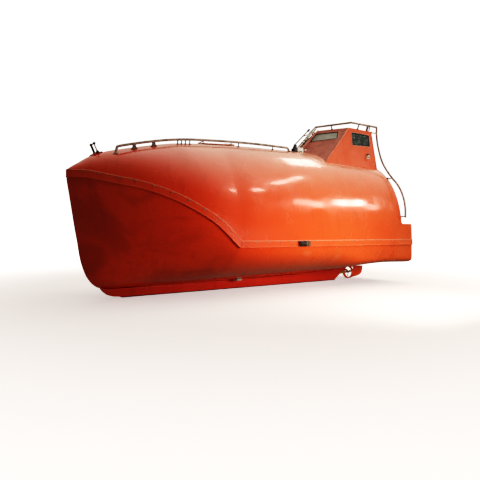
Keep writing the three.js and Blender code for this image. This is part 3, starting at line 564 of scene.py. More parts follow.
def gelcoat(name, base, faded, roughness=0.2, wave=1.0, marks=(), dust=0.0, coat=0.35, aft_light=1.0,
            bow_shade_clouds=0.0):
    """Glossy gelcoat: faded patches, painted light aft, painted shade on the bow, rain streaks, chalk
    with painted sky sheen on the tops, scuffs and marks, among them a painted highlight, and a slightly
    wavy surface.
    """
    look = Look(name, Coat_Weight=coat, Coat_Roughness=0.06, Specular_IOR_Level=0.5)
    colour = faded_and_lit_aft(look, base, faded, aft_light)
    if bow_shade_clouds:
        colour = clouded_bow_shade(look, colour, base, bow_shade_clouds)
    streak = look.noise(5.0, 4, 0.6, look.stretched((1.6, 1.6, 0.22)))
    colour = look.mix(look.spread(streak, 0.52, 0.72, 0.0, 0.28), colour, darker(base, 0.55))
    scratch = look.noise(60.0, 2, 0.5, look.stretched((0.35, 0.35, 2.6)), 0.4)
    scratches = look.spread(scratch, 0.70, 0.735, 0.0, 0.35)
    colour = look.mix(scratches, colour, tone(236, 176, 150))
    # Pale dust and painted sky sheen on the faces that look up
    if dust:
        colour = dust_and_sky_sheen(look, colour, dust)
    for mark in marks:
        colour = marked(look, colour, mark)
    dull = look.spread(look.noise(3.0, 6, 0.62), 0.3, 0.75, roughness - 0.05, roughness + 0.14)
    rough = look.math("ADD", dull, look.times(scratches, 0.3))
    return look.finish(Base_Color=colour, Roughness=rough, Normal=wavy(look, wave))


def metal(name, light, dark, roughness, rust=0.0, metallic=1.0):
    """Dull metal with a brushed grain, grime and a little rust."""
    look = Look(name, Metallic=metallic)
    grime = look.spread(look.noise(11.0, 6, 0.65), 0.38, 0.7)
    grain = look.noise(180.0, 3, 0.6, look.stretched((0.3, 1, 1)))
    stain = look.spread(look.noise(23.0, 5, 0.7), 0.56, 0.7, 0.0, rust)
    colour = look.mix(stain, look.mix(grime, light, dark), tone(96, 52, 30))
    dull = look.spread(grime, 0, 1, roughness, roughness + 0.2)
    rough = look.math("ADD", dull, look.times(stain, 0.3))
    return look.finish(Base_Color=colour, Roughness=rough, Normal=look.bump(grain, 0.15, 0.0006))


def painted(name, base, worn, roughness, grain=90.0, height=0.0005):
    """Paint or plastic with a fine grain, dirt and worn spots."""
    look = Look(name)
    dirt = look.spread(look.noise(8.0, 6, 0.65), 0.42, 0.75, 0.0, 0.7)
    wear = look.spread(look.noise(38.0, 5, 0.7), 0.6, 0.72, 0.0, 0.6)
    colour = look.mix(wear, look.mix(dirt, base, darker(base, 0.6)), worn)
    dull = look.spread(dirt, 0, 1, roughness, roughness + 0.2)
    rough = look.math("ADD", dull, look.times(wear, 0.1))
    bump = look.bump(look.noise(grain, 3), 0.3, height)
    return look.finish(Base_Color=colour, Roughness=rough, Normal=bump)


def glass(name, tint, roughness=0.04, salt=0.3):
    """Tinted pane with a dusty film of salt."""
    look = Look(name, IOR=1.5)
    film = look.spread(look.noise(9.0, 6, 0.65), 0.48 - salt * 0.3, 0.88 - salt * 0.3)
    colour = look.mix(look.times(film, salt), tint, tone(170, 178, 172))
    rough = look.spread(film, 0, 1, roughness, roughness + 0.12)
    through_it = look.spread(film, 0, 1, 1.1 - salt * 0.8, 0.9 - salt)
    return look.finish(Base_Color=colour, Roughness=rough, Transmission_Weight=through_it,
                       Normal=look.bump(look.noise(2.2, 2), 0.2, 0.004))


# Strength of the white behind the boat, and the floor's glow that rises to it
BACKDROP_STRENGTH = 2.45
FLOOR_GLOW = 0.75
GLOW_START, GLOW_END = 3.0, 9.5


def pale_floor():
    """Pale floor that glows a little, more so far away, where it meets the backdrop."""
    look = Look("pale_floor", Specular_IOR_Level=0.2, Emission_Color=(1.0, 1.0, 1.0, 1.0))
    colour = look.mix(look.noise(0.6, 4), tone(232, 231, 229), tone(224, 223, 221))
    distance = look.distance_from((0, 0, up(0)))
    glow = look.spread(distance, GLOW_START, GLOW_END, FLOOR_GLOW, BACKDROP_STRENGTH)
    return look.finish(Base_Color=colour, Roughness=0.7, Emission_Strength=glow)


ORANGE = tone(228, 68, 30)
FADED = tone(232, 86, 44)
PALE_SPOT = tone(240, 196, 170)
BROWN_GRIME = tone(150, 34, 16)
# Marks: centre, stretch, size, colour, amount
CANOPY_MARKS_AND_HIGHLIGHT = [
    # Painted highlight: pale spot where a small window's reflection falls on the canopy's side
    ((0.55, 1.05, up(1.45)), (1, 1, 1), 0.16, tone(240, 190, 165), 0.12),
    ((-2.2, 1.15, up(1.0)), (1, 1, 2), 0.5, tone(205, 66, 30), 0.35),
]
HULL_MARKS = [
    ((-2.2, 1.12, up(0.52)), (0.6, 1, 2.0), 0.34, tone(120, 30, 14), 0.4),
    ((-1.05, 1.1, up(0.5)), (1.5, 1, 0.8), 0.16, PALE_SPOT, 0.12),
    ((-0.35, 1.12, up(0.6)), (1, 1, 2), 0.12, PALE_SPOT, 0.12),
    ((0.6, 0.5, up(0.24)), (0.4, 0.6, 1.6), 0.5, BROWN_GRIME, 0.25),
    ((1.5, 0.4, up(0.26)), (0.4, 0.6, 1.6), 0.5, BROWN_GRIME, 0.2),
]
LOOKS = {
    "canopy": gelcoat("canopy_gelcoat", ORANGE, FADED, 0.17, 1.2, CANOPY_MARKS_AND_HIGHLIGHT, dust=0.8),
    "hull": gelcoat("hull_gelcoat", tone(230, 64, 26), tone(232, 76, 34), 0.2, 1.0, HULL_MARKS,
                    bow_shade_clouds=0.4),
    "band": gelcoat("band_gelcoat", tone(228, 70, 34), FADED, 0.3, 0.3, dust=0.5),
    "keel": gelcoat("keel_gelcoat", tone(190, 40, 22), tone(200, 60, 36), 0.36, 0.5, aft_light=0.0),
    "house": gelcoat("house_gelcoat", ORANGE, tone(226, 96, 62), 0.5, 0.3, dust=0.5, coat=0.0),
    # Hatch lid in pale pink: painted sky sheen on the canopy's crown, with pale dust
    "lid": gelcoat("lid_sheen_gelcoat", tone(232, 160, 134), DUST_AND_SHEEN, 0.36, 0.3, dust=0.9, aft_light=0.0),
    # Front panels of the wheelhouse: painted sky reflection and shade in a pale greyish pink
    "front": painted("dusty_gelcoat", tone(204, 124, 106), tone(214, 156, 140), 0.42, 140.0, 0.0004),
    "liner": painted("inner_liner", tone(196, 192, 180), tone(150, 146, 136), 0.5, 30.0, 0.001),
    "steel": metal("rail_steel", tone(182, 168, 156), tone(132, 116, 104), 0.45, 0.2, 0.35),
    "dull": metal("dull_steel", tone(136, 116, 104), tone(92, 76, 66), 0.5, 0.3, 0.4),
    "pale_steel": metal("pale_steel", tone(188, 184, 176), tone(128, 122, 112), 0.34, 0.1),
    "dark_steel": metal("dark_steel", tone(70, 62, 58), tone(34, 30, 28), 0.42, 0.3, 0.4),
    # Pale colour of the edge beads on the bands and the wheelhouse corners: painted highlight
    "worn": painted("painted_edge_highlight", tone(224, 150, 120), tone(236, 186, 164), 0.3),
    "trim": painted("pale_trim", tone(196, 128, 104), tone(150, 90, 74), 0.4),
    "gear": painted("gear_paint", tone(230, 84, 44), tone(196, 96, 62), 0.42),
    "bright": metal("bright_steel", tone(196, 194, 188), tone(120, 118, 112), 0.22, 0.1),
    "dark": painted("dark_paint", tone(22, 22, 24), tone(70, 68, 66), 0.4),
    "rubber": painted("black_rubber", tone(18, 18, 18), tone(52, 52, 52), 0.65),
    "white": painted("white_plastic", tone(226, 224, 214), tone(180, 176, 164), 0.32),
    "grey": painted("inner_grey", tone(120, 124, 126), tone(80, 82, 84), 0.5),
    "vinyl": painted("seat_vinyl", tone(176, 74, 30), tone(130, 56, 26), 0.45, 260.0, 0.0006),
    "zinc": painted("anode_zinc", tone(164, 150, 138), tone(112, 98, 88), 0.5),
    "bronze": metal("bronze", tone(206, 164, 108), tone(150, 120, 84), 0.36, 0.1, 0.6),
    "engine": painted("engine_paint", tone(70, 96, 92), tone(50, 52, 50), 0.45),
    "shoe": metal("shoe_steel", tone(70, 60, 56), tone(30, 24, 22), 0.5, 0.6),
    "glass": glass("dark_glass", tone(128, 152, 152)),
    "pale_glass": glass("pale_glass", tone(206, 214, 208), 0.14, 1.0),
    "lens": glass("lamp_lens", tone(235, 238, 235), 0.08),
    "deck": painted("non_slip_deck", tone(206, 74, 38), tone(160, 60, 34), 0.75, 420.0, 0.002),
    "floor": pale_floor(),
}


# Camera, stage and light

CAMERA_PLACE = (4.4566, 6.2489, 0.2825)
CAMERA_HEADING = 145.305
FRAME_SIDE = 480
FOCAL_PIXELS = 450
SENSOR = 36
HORIZON_ROW = 234
FAR_CLIP = 400


def place_camera():
    data = bpy.data.cameras.new("photo_view")
    data.sensor_width = SENSOR
    data.lens = FOCAL_PIXELS * SENSOR / FRAME_SIDE
    data.shift_y = (HORIZON_ROW - FRAME_SIDE / 2) / FRAME_SIDE
    data.clip_end = FAR_CLIP
    camera = bpy.data.objects.new("photo_view", data)
    turn = (Matrix.Rotation(math.radians(CAMERA_HEADING), 4, "Z")
            @ Matrix.Rotation(math.pi / 2, 4, "X"))
    camera.matrix_world = Matrix.Translation(CAMERA_PLACE) @ turn
    bpy.context.scene.collection.objects.link(camera)
    bpy.context.scene.camera = camera


WARM = (1.0, 0.94, 0.84)
# Beam of the side panel in degrees, which keeps it off most of the floor, and of the other lights
PANEL_SPREAD = 105
FULL_SPREAD = 180

# Soft lights: name, place, target, size, power, whether the gloss shows it
SOFT_LIGHTS = [
    ("side_panel", (-0.8, 4.2, 0.3), (-0.75, 1.1, 0.1), (2.6, 1.1), 97, False),
    ("strip_light", (-5.85, 4.35, 3.32), (-6.85, 1.05, 1.2), (1.1, 0.6), 112, True),
    ("long_strip_light", (-4.6, 4.7, 3.25), (-5.6, 1.4, 1.2), (1.9, 0.5), 76, True),
    ("low_strip_light", (-6.2, 4.2, 2.7), (-7.2, 0.9, 1.0), (0.9, 0.5), 20, True),
    ("window_light", (-3.3, 2.75, 4.55), (-0.1, 0.95, 1.1), (1.3, 0.3), 25, True),
    ("small_window_light", (-2.37, 3.7, 3.95), (0.563, 1.0, 0.92), (0.32, 0.3), 9, True),
    ("ceiling_light", (-5.2, -0.3, 6.6), (-0.6, 0.7, 1.45), (1.8, 1.2), 95, True),
]


def area_light(name, place, target, size, power, glossy):
    data = bpy.data.lights.new(name, "AREA")
    data.shape = "RECTANGLE"
    data.size, data.size_y = size
    data.energy = power
    data.color = WARM
    light = bpy.data.objects.new(name, data)
    light.location = place
    light.rotation_euler = (Vector(target) - Vector(place)).to_track_quat("-Z", "Y").to_euler()
    data.spread = math.radians(FULL_SPREAD if glossy else PANEL_SPREAD)
    light.visible_glossy = glossy
    light.visible_camera = False
    bpy.context.scene.collection.objects.link(light)


# The studio is brightest along this direction and dark around the bow
BRIGHT_SIDE = Vector((-0.45, -0.2, 0.87)).normalized()
DARK_EDGE = -0.2
DARK_STRENGTH = 0.28
DARK_WARMTH = (1.0, 0.68, 0.5)
BRIGHT_STRENGTH = 2.2
BRIGHT_POWER = 3.0

# Tone curve like a camera's: a soft shoulder up to the white level, then contrast
WHITE_LEVEL = 2.4
SHOULDER = 1.5
VIEW_CONTRAST = 1.75
CURVE_STOPS = (0.15, 0.3, 0.5, 0.75, 1.0, 1.4, 1.9)


def shoulder(value):
    return value / (1 + value**SHOULDER)**(1 / SHOULDER)


def set_tone():
    view = bpy.context.scene.view_settings
    view.view_transform = "Standard"
    view.gamma = 1 / VIEW_CONTRAST
    view.use_curve_mapping = True
    mapping = view.curve_mapping
    mapping.white_level = (WHITE_LEVEL, WHITE_LEVEL, WHITE_LEVEL)
    curve = mapping.curves[3]
    for stop in CURVE_STOPS:
        curve.points.new(stop / WHITE_LEVEL, shoulder(stop) / shoulder(WHITE_LEVEL))
    mapping.update()


def light_world():
    """Soft gradient that lights the boat, with an even white backdrop behind it."""
    world = bpy.data.worlds.new("studio")
    bpy.context.scene.world = world
    world.use_nodes = True
    sky = Nodes(world.node_tree)
    towards = sky.node("ShaderNodeTexCoord").outputs["Generated"]
    dot = sky.node("ShaderNodeVectorMath", {0: towards, 1: BRIGHT_SIDE})
    dot.operation = "DOT_PRODUCT"
    bright = sky.spread(dot.outputs["Value"], DARK_EDGE, 1.0, kind="LINEAR")
    curve = sky.math("POWER", bright, BRIGHT_POWER)
    glow = sky.math("MULTIPLY_ADD", curve, BRIGHT_STRENGTH, DARK_STRENGTH)
    seen = sky.node("ShaderNodeLightPath").outputs["Is Camera Ray"]
    strength = sky.node("ShaderNodeMix", {"Factor": seen, "A": glow, "B": BACKDROP_STRENGTH})
    warmth = sky.mix(curve, DARK_WARMTH + (1.0,), WARM + (1.0,))
    colour = sky.mix(seen, warmth, (1.0, 1.0, 1.0, 1.0))
    values = {"Color": colour, "Strength": strength.outputs["Result"]}
    background = sky.node("ShaderNodeBackground", values).outputs["Background"]
    sky.node("ShaderNodeOutputWorld", {"Surface": background})


FLOOR_RADIUS = 70
FLOOR_SIDES = 96
# Room under the keel, so that the two faces don't lie in one plane
FLOOR_GAP = 0.001


def lay_floor():
    rim = [(x, y, up(0) - FLOOR_GAP) for x, y in circle(FLOOR_RADIUS, FLOOR_SIDES)]
    floor = Shape().add(rim, [tuple(range(FLOOR_SIDES))]).build("floor", "floor")
    # The pale floor stays out of the gelcoat's reflections and adds no bounced light
    floor.visible_glossy = False
    floor.visible_diffuse = False


def set_studio():
    place_camera()
    light_world()
    for row in SOFT_LIGHTS:
        area_light(*row)
    lay_floor()
    set_tone()


# Hull and canopy shells

# Points on each half ring of a shell, and of the solids that only cut
HALF_POINTS = 44
CUTTER_POINTS = 30
# Places along the boat aft of the sheer's corner and forward of it, each counting its start
AFT_PLACES = 44
FORE_PLACES = 70
# Rings that round the transom's edge, and the step that keeps those of the inner skin apart
EDGE_RINGS = 5
INNER_STEP = 0.0002


def whole(half):
    """Port half and its mirror image as one open ring."""
    mirror = half[:-1][::-1] * np.array([1, -1, 1])
    return np.concatenate([half, mirror])


def station_places():
    """Places along the boat for the shell's rings, closer together at the bow."""
    knee = float(np.interp(SHEER_CORNER_X, HULL_STATIONS[:, 0], STATION_REACH))
    last = STATION_REACH[-1]
    aft = np.linspace(0, knee, AFT_PLACES)[1:]
    fore = knee + (last - knee) * np.linspace(0, 1, FORE_PLACES)[1:]
    return np.concatenate([aft, fore])


def shell(half, grow_inner):
    """Closed shell of a moulding: outer skin, inner skin and rim."""
    outer = []
    for i in range(EDGE_RINGS):
        angle = math.pi / 2 * i / (EDGE_RINGS - 1)
        ring = whole(half(0.0, -EDGE_RADIUS * (1 - math.sin(angle)), HALF_POINTS))
        ring[:, 0] = TRANSOM_X + EDGE_RADIUS * (1 - math.cos(angle))
        outer.append(ring)
    places = station_places()
    outer += [whole(half(p, 0.0, HALF_POINTS)) for p in places]
    last_inner = STATION_REACH[LAST_CAVITY_STATION]
    inner = []
    for i in range(EDGE_RINGS + int(np.searchsorted(places, last_inner))):
        place = places[i - EDGE_RINGS] if i >= EDGE_RINGS else 0.0
        ring = whole(half(place, grow_inner, HALF_POINTS))
        if i < EDGE_RINGS:
            ring[:, 0] = TRANSOM_X + TRANSOM_THICKNESS + INNER_STEP * i
        inner.append(ring)
    return close_shell(outer, inner)


def close_shell(outer, inner):
    """Faces of both skins, their ends, and the rim between them."""
    count = len(outer[0])
    last = count - 1
    base = len(outer) * count
    shape = Shape()
    shape.points = [tuple(p) for ring in outer + inner for p in ring]

    def outer_at(i, j):
        return i * count + j % count

    def inner_at(i, j):
        return base + i * count + j % count

    def face(slot, *indices):
        shape.faces.append(indices)
        shape.slots.append(slot)

    for rings, at, slot in ((outer, outer_at, 0), (inner, inner_at, 1)):
        for i in range(len(rings) - 1):
            for j in range(last):
                face(slot, at(i, j), at(i, j + 1), at(i + 1, j + 1), at(i + 1, j))
        face(slot, *[at(0, j) for j in range(count)])
        end = len(rings) - 1
        for j in range(last // 2):
            corners = [at(end, j), at(end, j + 1), at(end, last - 1 - j), at(end, last - j)]
            face(slot, *list(dict.fromkeys(corners)))
    for i in range(len(inner) - 1):
        for j in (0, last):
            face(0, outer_at(i, j), outer_at(i + 1, j), inner_at(i + 1, j), inner_at(i, j))
    face(0, outer_at(0, 0), outer_at(0, last), inner_at(0, last), inner_at(0, 0))
    k = len(inner) - 1
    face(0, outer_at(k, 0), outer_at(k + 1, 0), outer_at(k + 1, last), outer_at(k, last),
         inner_at(k, last), inner_at(k, 0))
    for i in range(k + 1, len(outer) - 1):
        face(0, outer_at(i, 0), outer_at(i + 1, 0), outer_at(i + 1, last), outer_at(i, last))
    return shape


# Radius and ends of the hole for the nozzle's stock
STOCK_HOLE = [(0.0243, up(0.2)), (0.0243, up(0.5))]


def make_hull():
    hull = shell(hull_half, -SKIN).build("hull_skin", "hull liner")
    stock = Shape().lathe(STOCK_HOLE, (STOCK_X, 0, 0), (0, 0, 1), 0, 32)
    cut(hull, stock.build("stock_hole", "hull"))
    smooth_by_angle(hull.data)
    settle(hull, "hull_gelcoat", "hull_shell")


# Room above the stern well that is cut out of the canopy: after end, top, half width, corner
STEP_AFT_X = -3.2
STEP_TOP = 2.8
STEP_HALF_WIDTH = 1.4
STEP_CORNER = 0.04
# Opening in the canopy under the wheelhouse
CUPOLA_LOW = (-2.56, -0.47, up(1.9))
CUPOLA_HIGH = (-1.6, 0.47, up(2.7))
HATCH_X = 0.7
HATCH_HALF = 0.24


def stern_step_outline(steps=6):
    outline = [(STEP_AFT_X, up(BULWARK_TOP)), (BULKHEAD_X - STEP_CORNER, up(BULWARK_TOP))]
    for i in range(1, steps + 1):
        angle = math.pi / 2 * i / steps
        outline.append((BULKHEAD_X - STEP_CORNER + STEP_CORNER * math.sin(angle),
                        up(BULWARK_TOP) + STEP_CORNER - STEP_CORNER * math.cos(angle)))
    return outline + [(BULKHEAD_X, up(STEP_TOP)), (STEP_AFT_X, up(STEP_TOP))]


def make_canopy():
    canopy = shell(canopy_half, -SKIN).build("canopy_skin", "canopy liner")
    outline = stern_step_outline()
    step = Shape().rings([[(x, y, z) for x, z in outline] for y in (-STEP_HALF_WIDTH, STEP_HALF_WIDTH)])
    cut(canopy, step.build("stern_step", "canopy"))
    cut(canopy, flat_box("cupola_cut", CUPOLA_LOW, CUPOLA_HIGH, "canopy"))
    low = (HATCH_X - HATCH_HALF, -HATCH_HALF, up(2.0))
    high = (HATCH_X + HATCH_HALF, HATCH_HALF, up(2.7))
    cut(canopy, flat_box("hatch_cut", low, high, "canopy"))
    smooth_by_angle(canopy.data)
    settle(canopy, "canopy_gelcoat", "canopy_shell")


# Gunwale bands with their bolts

BAND_HALF = 0.05
BAND_TOP_OUT = 0.024
BAND_OUT = 0.034
BAND_INSIDE = 0.014
BAND_TAPER_X = 2.0
BAND_TIP_X = 2.935
BAND_TIP_SHARE = 0.31
BAND_AFT_X = -2.972
# Lean that sets the band's fore end upright on the rising sheer
BAND_TIP_LEAN = 0.23
# Point of the section on the band's upper edge, and the radius of the pale line there, a painted
# highlight where the edge catches the light
HIGHLIGHT_EDGE_POINT = 2
HIGHLIGHT_LINE_RADIUS = 0.0055
BAND_SMOOTH = 30


def band_outline():
    """Band section as (out, up): sloping face, rounded edges and a lip at the foot."""
    return [
        (-BAND_INSIDE, BAND_HALF), (BAND_TOP_OUT - 0.006, BAND_HALF), (BAND_TOP_OUT - 0.002, 0.0485),
        (BAND_TOP_OUT, 0.045), (BAND_TOP_OUT + 0.001, 0.04), (0.028, 0.0), (0.0295, -0.03),
        (0.03, -0.034), (0.0335, -0.037), (BAND_OUT, -0.041), (0.0335, -0.0455), (0.031, -0.049),
        (0.026, -BAND_HALF), (-BAND_INSIDE, -BAND_HALF),
    ]


def band_share(x):
    """Part of the full thickness that the band has left as it thins towards the stem."""
    return 1 - (1 - BAND_TIP_SHARE) * max(0.0, x - BAND_TAPER_X) / (BAND_TIP_X - BAND_TAPER_X)


# Half the step that the sheer's direction is taken over, and its last X aft and forward
SHEER_STEP = 0.004
LAST_AFT_X = 2.94
LAST_FORE_X = 2.9465


def sheer_frames(xs):
    """Points on the sheer line with their outward and upward directions, apart at its corner."""
    frames = []
    for x in xs:
        lo = min(x - SHEER_STEP, LAST_AFT_X)
        hi = min(x + SHEER_STEP, LAST_FORE_X)
        if x >= SHEER_CORNER_X:
            lo = max(lo, SHEER_CORNER_X)
        else:
            hi = min(hi, SHEER_CORNER_X - 1e-4)
        a = Vector((lo, float(half_breadth(lo)), float(sheer_height(lo))))
        b = Vector((hi, float(half_breadth(hi)), float(sheer_height(hi))))
        run = (b - a).normalized()
        out = Vector((-(b.y - a.y), b.x - a.x, 0)).normalized()
        out = (out - run * out.dot(run)).normalized()
        rise = out.cross(run).normalized()
        if rise.z < 0:
            rise = -rise
        point = Vector((x, float(half_breadth(x)), up(float(sheer_height(x)))))
        frames.append((point, run, out, rise))
    return frames


def band_rings(xs, leans):
    """Band section at each X; a lean shifts its edges along the run, as for the mitre."""
    rings = []
    for i, (point, run, out, rise) in enumerate(sheer_frames(xs)):
        lean = leans.get(i, 0.0)
        thin = band_share(point.x)
        rings.append([point + out * (a * thin if a > 0 else a) + rise * b + run * (lean * b)
                      for a, b in band_outline()])
    return rings


def bolt(shape, place, out, slot, size=1.0):
    """Dome-headed bolt on a washer."""
    head, washer = 0.0095 * size, 0.0135 * size
    shape.lathe([(washer, -0.004), (washer, 0.0016), (washer * 0.9, 0.0024), (0, 0.0024)],
                place, out, slot, 16)
    shape.lathe([(head, 0.002), (head, 0.005), (head * 0.8, 0.0075), (head * 0.4, 0.009), (0, 0.0094)],
                place, out, slot, 12)


def button(radius, side, top_radius, top, foot=0.0):
    """Profile of a low round head: straight side, chamfer and flat top."""
    return [(radius, foot), (radius, side), (top_radius, top), (0, top)]


BOLT_PITCH_FORE = 0.242
BOLT_FIRST_X = 2.79
# Bolts on the level run: first X, last X, count
BOLT_RUNS = [(0.664, -0.003, 4), (-0.521, -2.917, 10)]
BOLT_RISE = 0.028
BOLT_SIZE = 0.82
# Lean of the bolts with the band's sloping face
BOLT_TILT = 0.12


def bolt_stations():
    fine = np.linspace(SHEER_CORNER_X + 0.005, BOLT_FIRST_X, 400)
    line = np.stack([fine, half_breadth(fine), sheer_height(fine)], axis=1)
    reach = along(line)
    count = int(round(reach[-1] / BOLT_PITCH_FORE))
    fore = np.interp(np.linspace(0, reach[-1], count + 1), reach, fine)
    return list(fore), [x for a, b, n in BOLT_RUNS for x in np.linspace(a, b, n)]


# Gap and slant of the mitre where the two lengths of band meet
MITRE_GAP = 0.0012
MITRE_LEAN = 0.37


def band_length(xs, leans, bolts):
    """One length of band with its worn edge and its bolts."""
    rings = band_rings(xs, leans)
    shape = Shape().rings(rings)
    # Pale tube along the band's upper edge: painted highlight
    shape.tube([ring[HIGHLIGHT_EDGE_POINT] for ring in rings], HIGHLIGHT_LINE_RADIUS, 2, 6)
    for point, run, out, rise in sheer_frames(bolts):
        tilt = (out + rise * BOLT_TILT).normalized()
        reach = (BAND_TOP_OUT + 0.0035) * band_share(point.x)
        bolt(shape, point + out * reach + rise * BOLT_RISE, tilt, 1, BOLT_SIZE)
    return shape


def make_bands():
    aft_xs = np.linspace(BAND_AFT_X, SHEER_CORNER_X - MITRE_GAP, 40).tolist()
    fore_xs = np.linspace(SHEER_CORNER_X + MITRE_GAP, BAND_TIP_X, 90).tolist()
    aft_leans = {len(aft_xs) - 1: -MITRE_LEAN * 0.95}
    fore_leans = {0: MITRE_LEAN, len(fore_xs) - 1: BAND_TIP_LEAN}
    fore_bolts, aft_bolts = bolt_stations()
    aft = band_length(aft_xs, aft_leans, aft_bolts)
    fore = band_length(fore_xs, fore_leans, fore_bolts)
    for shape, part in ((aft, "aft"), (fore, "fore")):
        settle_pair(shape, f"band_{part}", "moulding", "band steel worn", BAND_SMOOTH, "canopy_gelcoat")


# Fittings on curved skins

# Grid over the canopy: first, last, count; and the sections that it is read from
GRID_X = (-3.0, 2.9, 591)
GRID_Y = (0, 1.14, 115)
GRID_SECTIONS = 300
GRID_POINTS = 120


def skin_grid():
    """Heights of the canopy's skin over a regular grid of X and Y."""
    xs = np.linspace(*GRID_X)
    ys = np.linspace(*GRID_Y)
    places = np.linspace(0, STATION_REACH[-1], GRID_SECTIONS)
    halves = np.array([canopy_half(p, 0, GRID_POINTS) for p in places])
    grid = np.empty((len(ys), len(xs)))
    lines_x = np.array([np.interp(ys, half[::-1, 1], half[::-1, 0]) for half in halves])
    lines_z = np.array([np.interp(ys, half[::-1, 1], half[::-1, 2]) for half in halves])
    for row in range(len(ys)):
        grid[row] = np.interp(xs, lines_x[:, row], lines_z[:, row])
    return xs, ys, grid


SKIN_GRID = skin_grid()


def skin_z(x, y):
    """Row height of the canopy's skin at a place."""
    xs, ys, grid = SKIN_GRID
    i = min(max((x - xs[0]) / (xs[1] - xs[0]), 0), len(xs) - 1.001)
    j = min(abs(y) / (ys[1] - ys[0]), len(ys) - 1.001)
    i0, j0 = int(i), int(j)
    u, v = i - i0, j - j0
    near = grid[j0, i0] * (1 - u) + grid[j0, i0 + 1] * u
    far = grid[j0 + 1, i0] * (1 - u) + grid[j0 + 1, i0 + 1] * u
    return float(near * (1 - v) + far * v)


def skin_normal(x, y, step=0.01):
    dx = (skin_z(x + step, y) - skin_z(x - step, y)) / (2 * step)
    dy = (skin_z(x, y + step) - skin_z(x, y - step)) / (2 * step)
    return Vector((-dx, -dy, 1)).normalized()


def on_skin(x, y, lift=0.0):
    return Vector((x, y, skin_z(x, y))) + skin_normal(x, y) * lift


def foot_disc(shape, x, y, radius=0.03, slot=0):
    """Small round base with a weld collar where a rail's foot meets the canopy."""
    shape.lathe([(radius, -0.004), (radius, 0.002), (radius * 0.92, 0.0035), (radius * 0.5, 0.004),
                 (radius * 0.42, 0.009), (radius * 0.3, 0.013), (0, 0.013)],
                on_skin(x, y), skin_normal(x, y), slot, 20)


def bent(points, radius, steps=6):
    """Line through points with its corners bent to a radius."""
    points = [Vector(p) for p in points]
    line = [points[0]]
    for i in range(1, len(points) - 1):
        corner = points[i]
        back = (points[i - 1] - corner).normalized()
        forth = (points[i + 1] - corner).normalized()
        half = back.angle(forth) / 2
        if half > math.radians(88):
            line.append(corner)
            continue
        reach = min(radius / math.tan(half), (points[i - 1] - corner).length * 0.45,
                    (points[i + 1] - corner).length * 0.45)
        actual = reach * math.tan(half)
        centre = corner + (back + forth).normalized() * (actual / math.sin(half))
        first, last = corner + back * reach - centre, corner + forth * reach - centre
        sweep = math.pi - 2 * half
        for k in range(steps + 1):
            t = k / steps
            line.append(centre + first * (math.sin((1 - t) * sweep) / math.sin(sweep))
                        + last * (math.sin(t * sweep) / math.sin(sweep)))
    line.append(points[-1])
    return line


def weld(shape, place, radius, slot=0):
    """Small bead where one tube joins another."""
    shape.lathe([(0, -radius), (radius * 0.7, -radius * 0.7), (radius, 0), (radius * 0.7, radius * 0.7),
                 (0, radius)], place, (0, 0, 1), slot, 12)


def round_outline(corners, radius, steps=5):
    """Outline with its corners rounded."""
    corners = [np.array(c, float) for c in corners]
    points = []
    for i, corner in enumerate(corners):
        before = corners[i - 1] - corner
        after = corners[(i + 1) % len(corners)] - corner
        before /= np.linalg.norm(before)
        after /= np.linalg.norm(after)
        half = math.acos(np.clip(before @ after, -1, 1)) / 2
        reach = radius / math.tan(half)
        middle = before + after
        centre = corner + middle / np.linalg.norm(middle) * radius / math.sin(half)
        first = corner + before * reach - centre
        last = corner + after * reach - centre
        sweep = math.pi - 2 * half
        for k in range(steps + 1):
            t = k / steps
            points.append(centre + (first * math.sin((1 - t) * sweep) + last * math.sin(t * sweep))
                          / math.sin(sweep))
    return np.array(points)


def grown(outline, by):
    """Outline moved outwards by a distance, inwards where it is negative."""
    outline = np.array(outline, float)
    before = outline - np.roll(outline, 1, axis=0)
    after = np.roll(outline, -1, axis=0) - outline
    before /= np.linalg.norm(before, axis=1)[:, None]
    after /= np.linalg.norm(after, axis=1)[:, None]
    run = before + after
    run /= np.linalg.norm(run, axis=1)[:, None]
    x, y = outline[:, 0], outline[:, 1]
    turning = np.sign(np.sum(x * np.roll(y, -1) - np.roll(x, -1) * y))
    return outline + np.stack([run[:, 1], -run[:, 0]], axis=1) * by * turning


def frame_ring(shape, outer, inner, place, near, far, slot=0):
    """Flat ring between two outlines of a face, from one depth to another."""
    loops = [(outer, near), (inner, near), (inner, far), (outer, far)]
    shape.rings([[place(u, v, depth) for u, v in loop] for loop, depth in loops], slot, closed=True)


PANE_SMOOTH = 30


def prism(name, outline, place, depths, look):
    """Outline on a wall, carried through it from one depth to another."""
    rings = [[place(u, v, depth) for u, v in outline] for depth in depths]
    return Shape().rings(rings).build(name, look, PANE_SMOOTH)


# Angles in degrees: faces that are merged, edges that are eased, and smooth shading
FLAT_ANGLE = 1.5
EASED_ANGLE = 30
EASED_SMOOTH = 35


def refine(node, slot, looks, ease=0.003, extra=None):
    """A node's form with its edges eased, as the piece that stands for it."""
    work = bmesh.new()
    work.from_mesh(NODES[node].data)
    bmesh.ops.remove_doubles(work, verts=work.verts[:], dist=2e-5)
    bmesh.ops.dissolve_limit(work, angle_limit=math.radians(FLAT_ANGLE), verts=work.verts[:],
                             edges=work.edges[:])
    limit = math.radians(EASED_ANGLE)
    sharp = [e for e in work.edges if len(e.link_faces) == 2 and e.calc_face_angle(0) > limit]
    bmesh.ops.bevel(work, geom=sharp, offset=ease, segments=2, profile=0.5, affect="EDGES",
                    clamp_overlap=True)
    shape = Shape().take(work)
    if extra:
        extra(shape)
    return settle(shape.build(f"{node}_form", looks, EASED_SMOOTH), slot, node)


# Wheelhouse

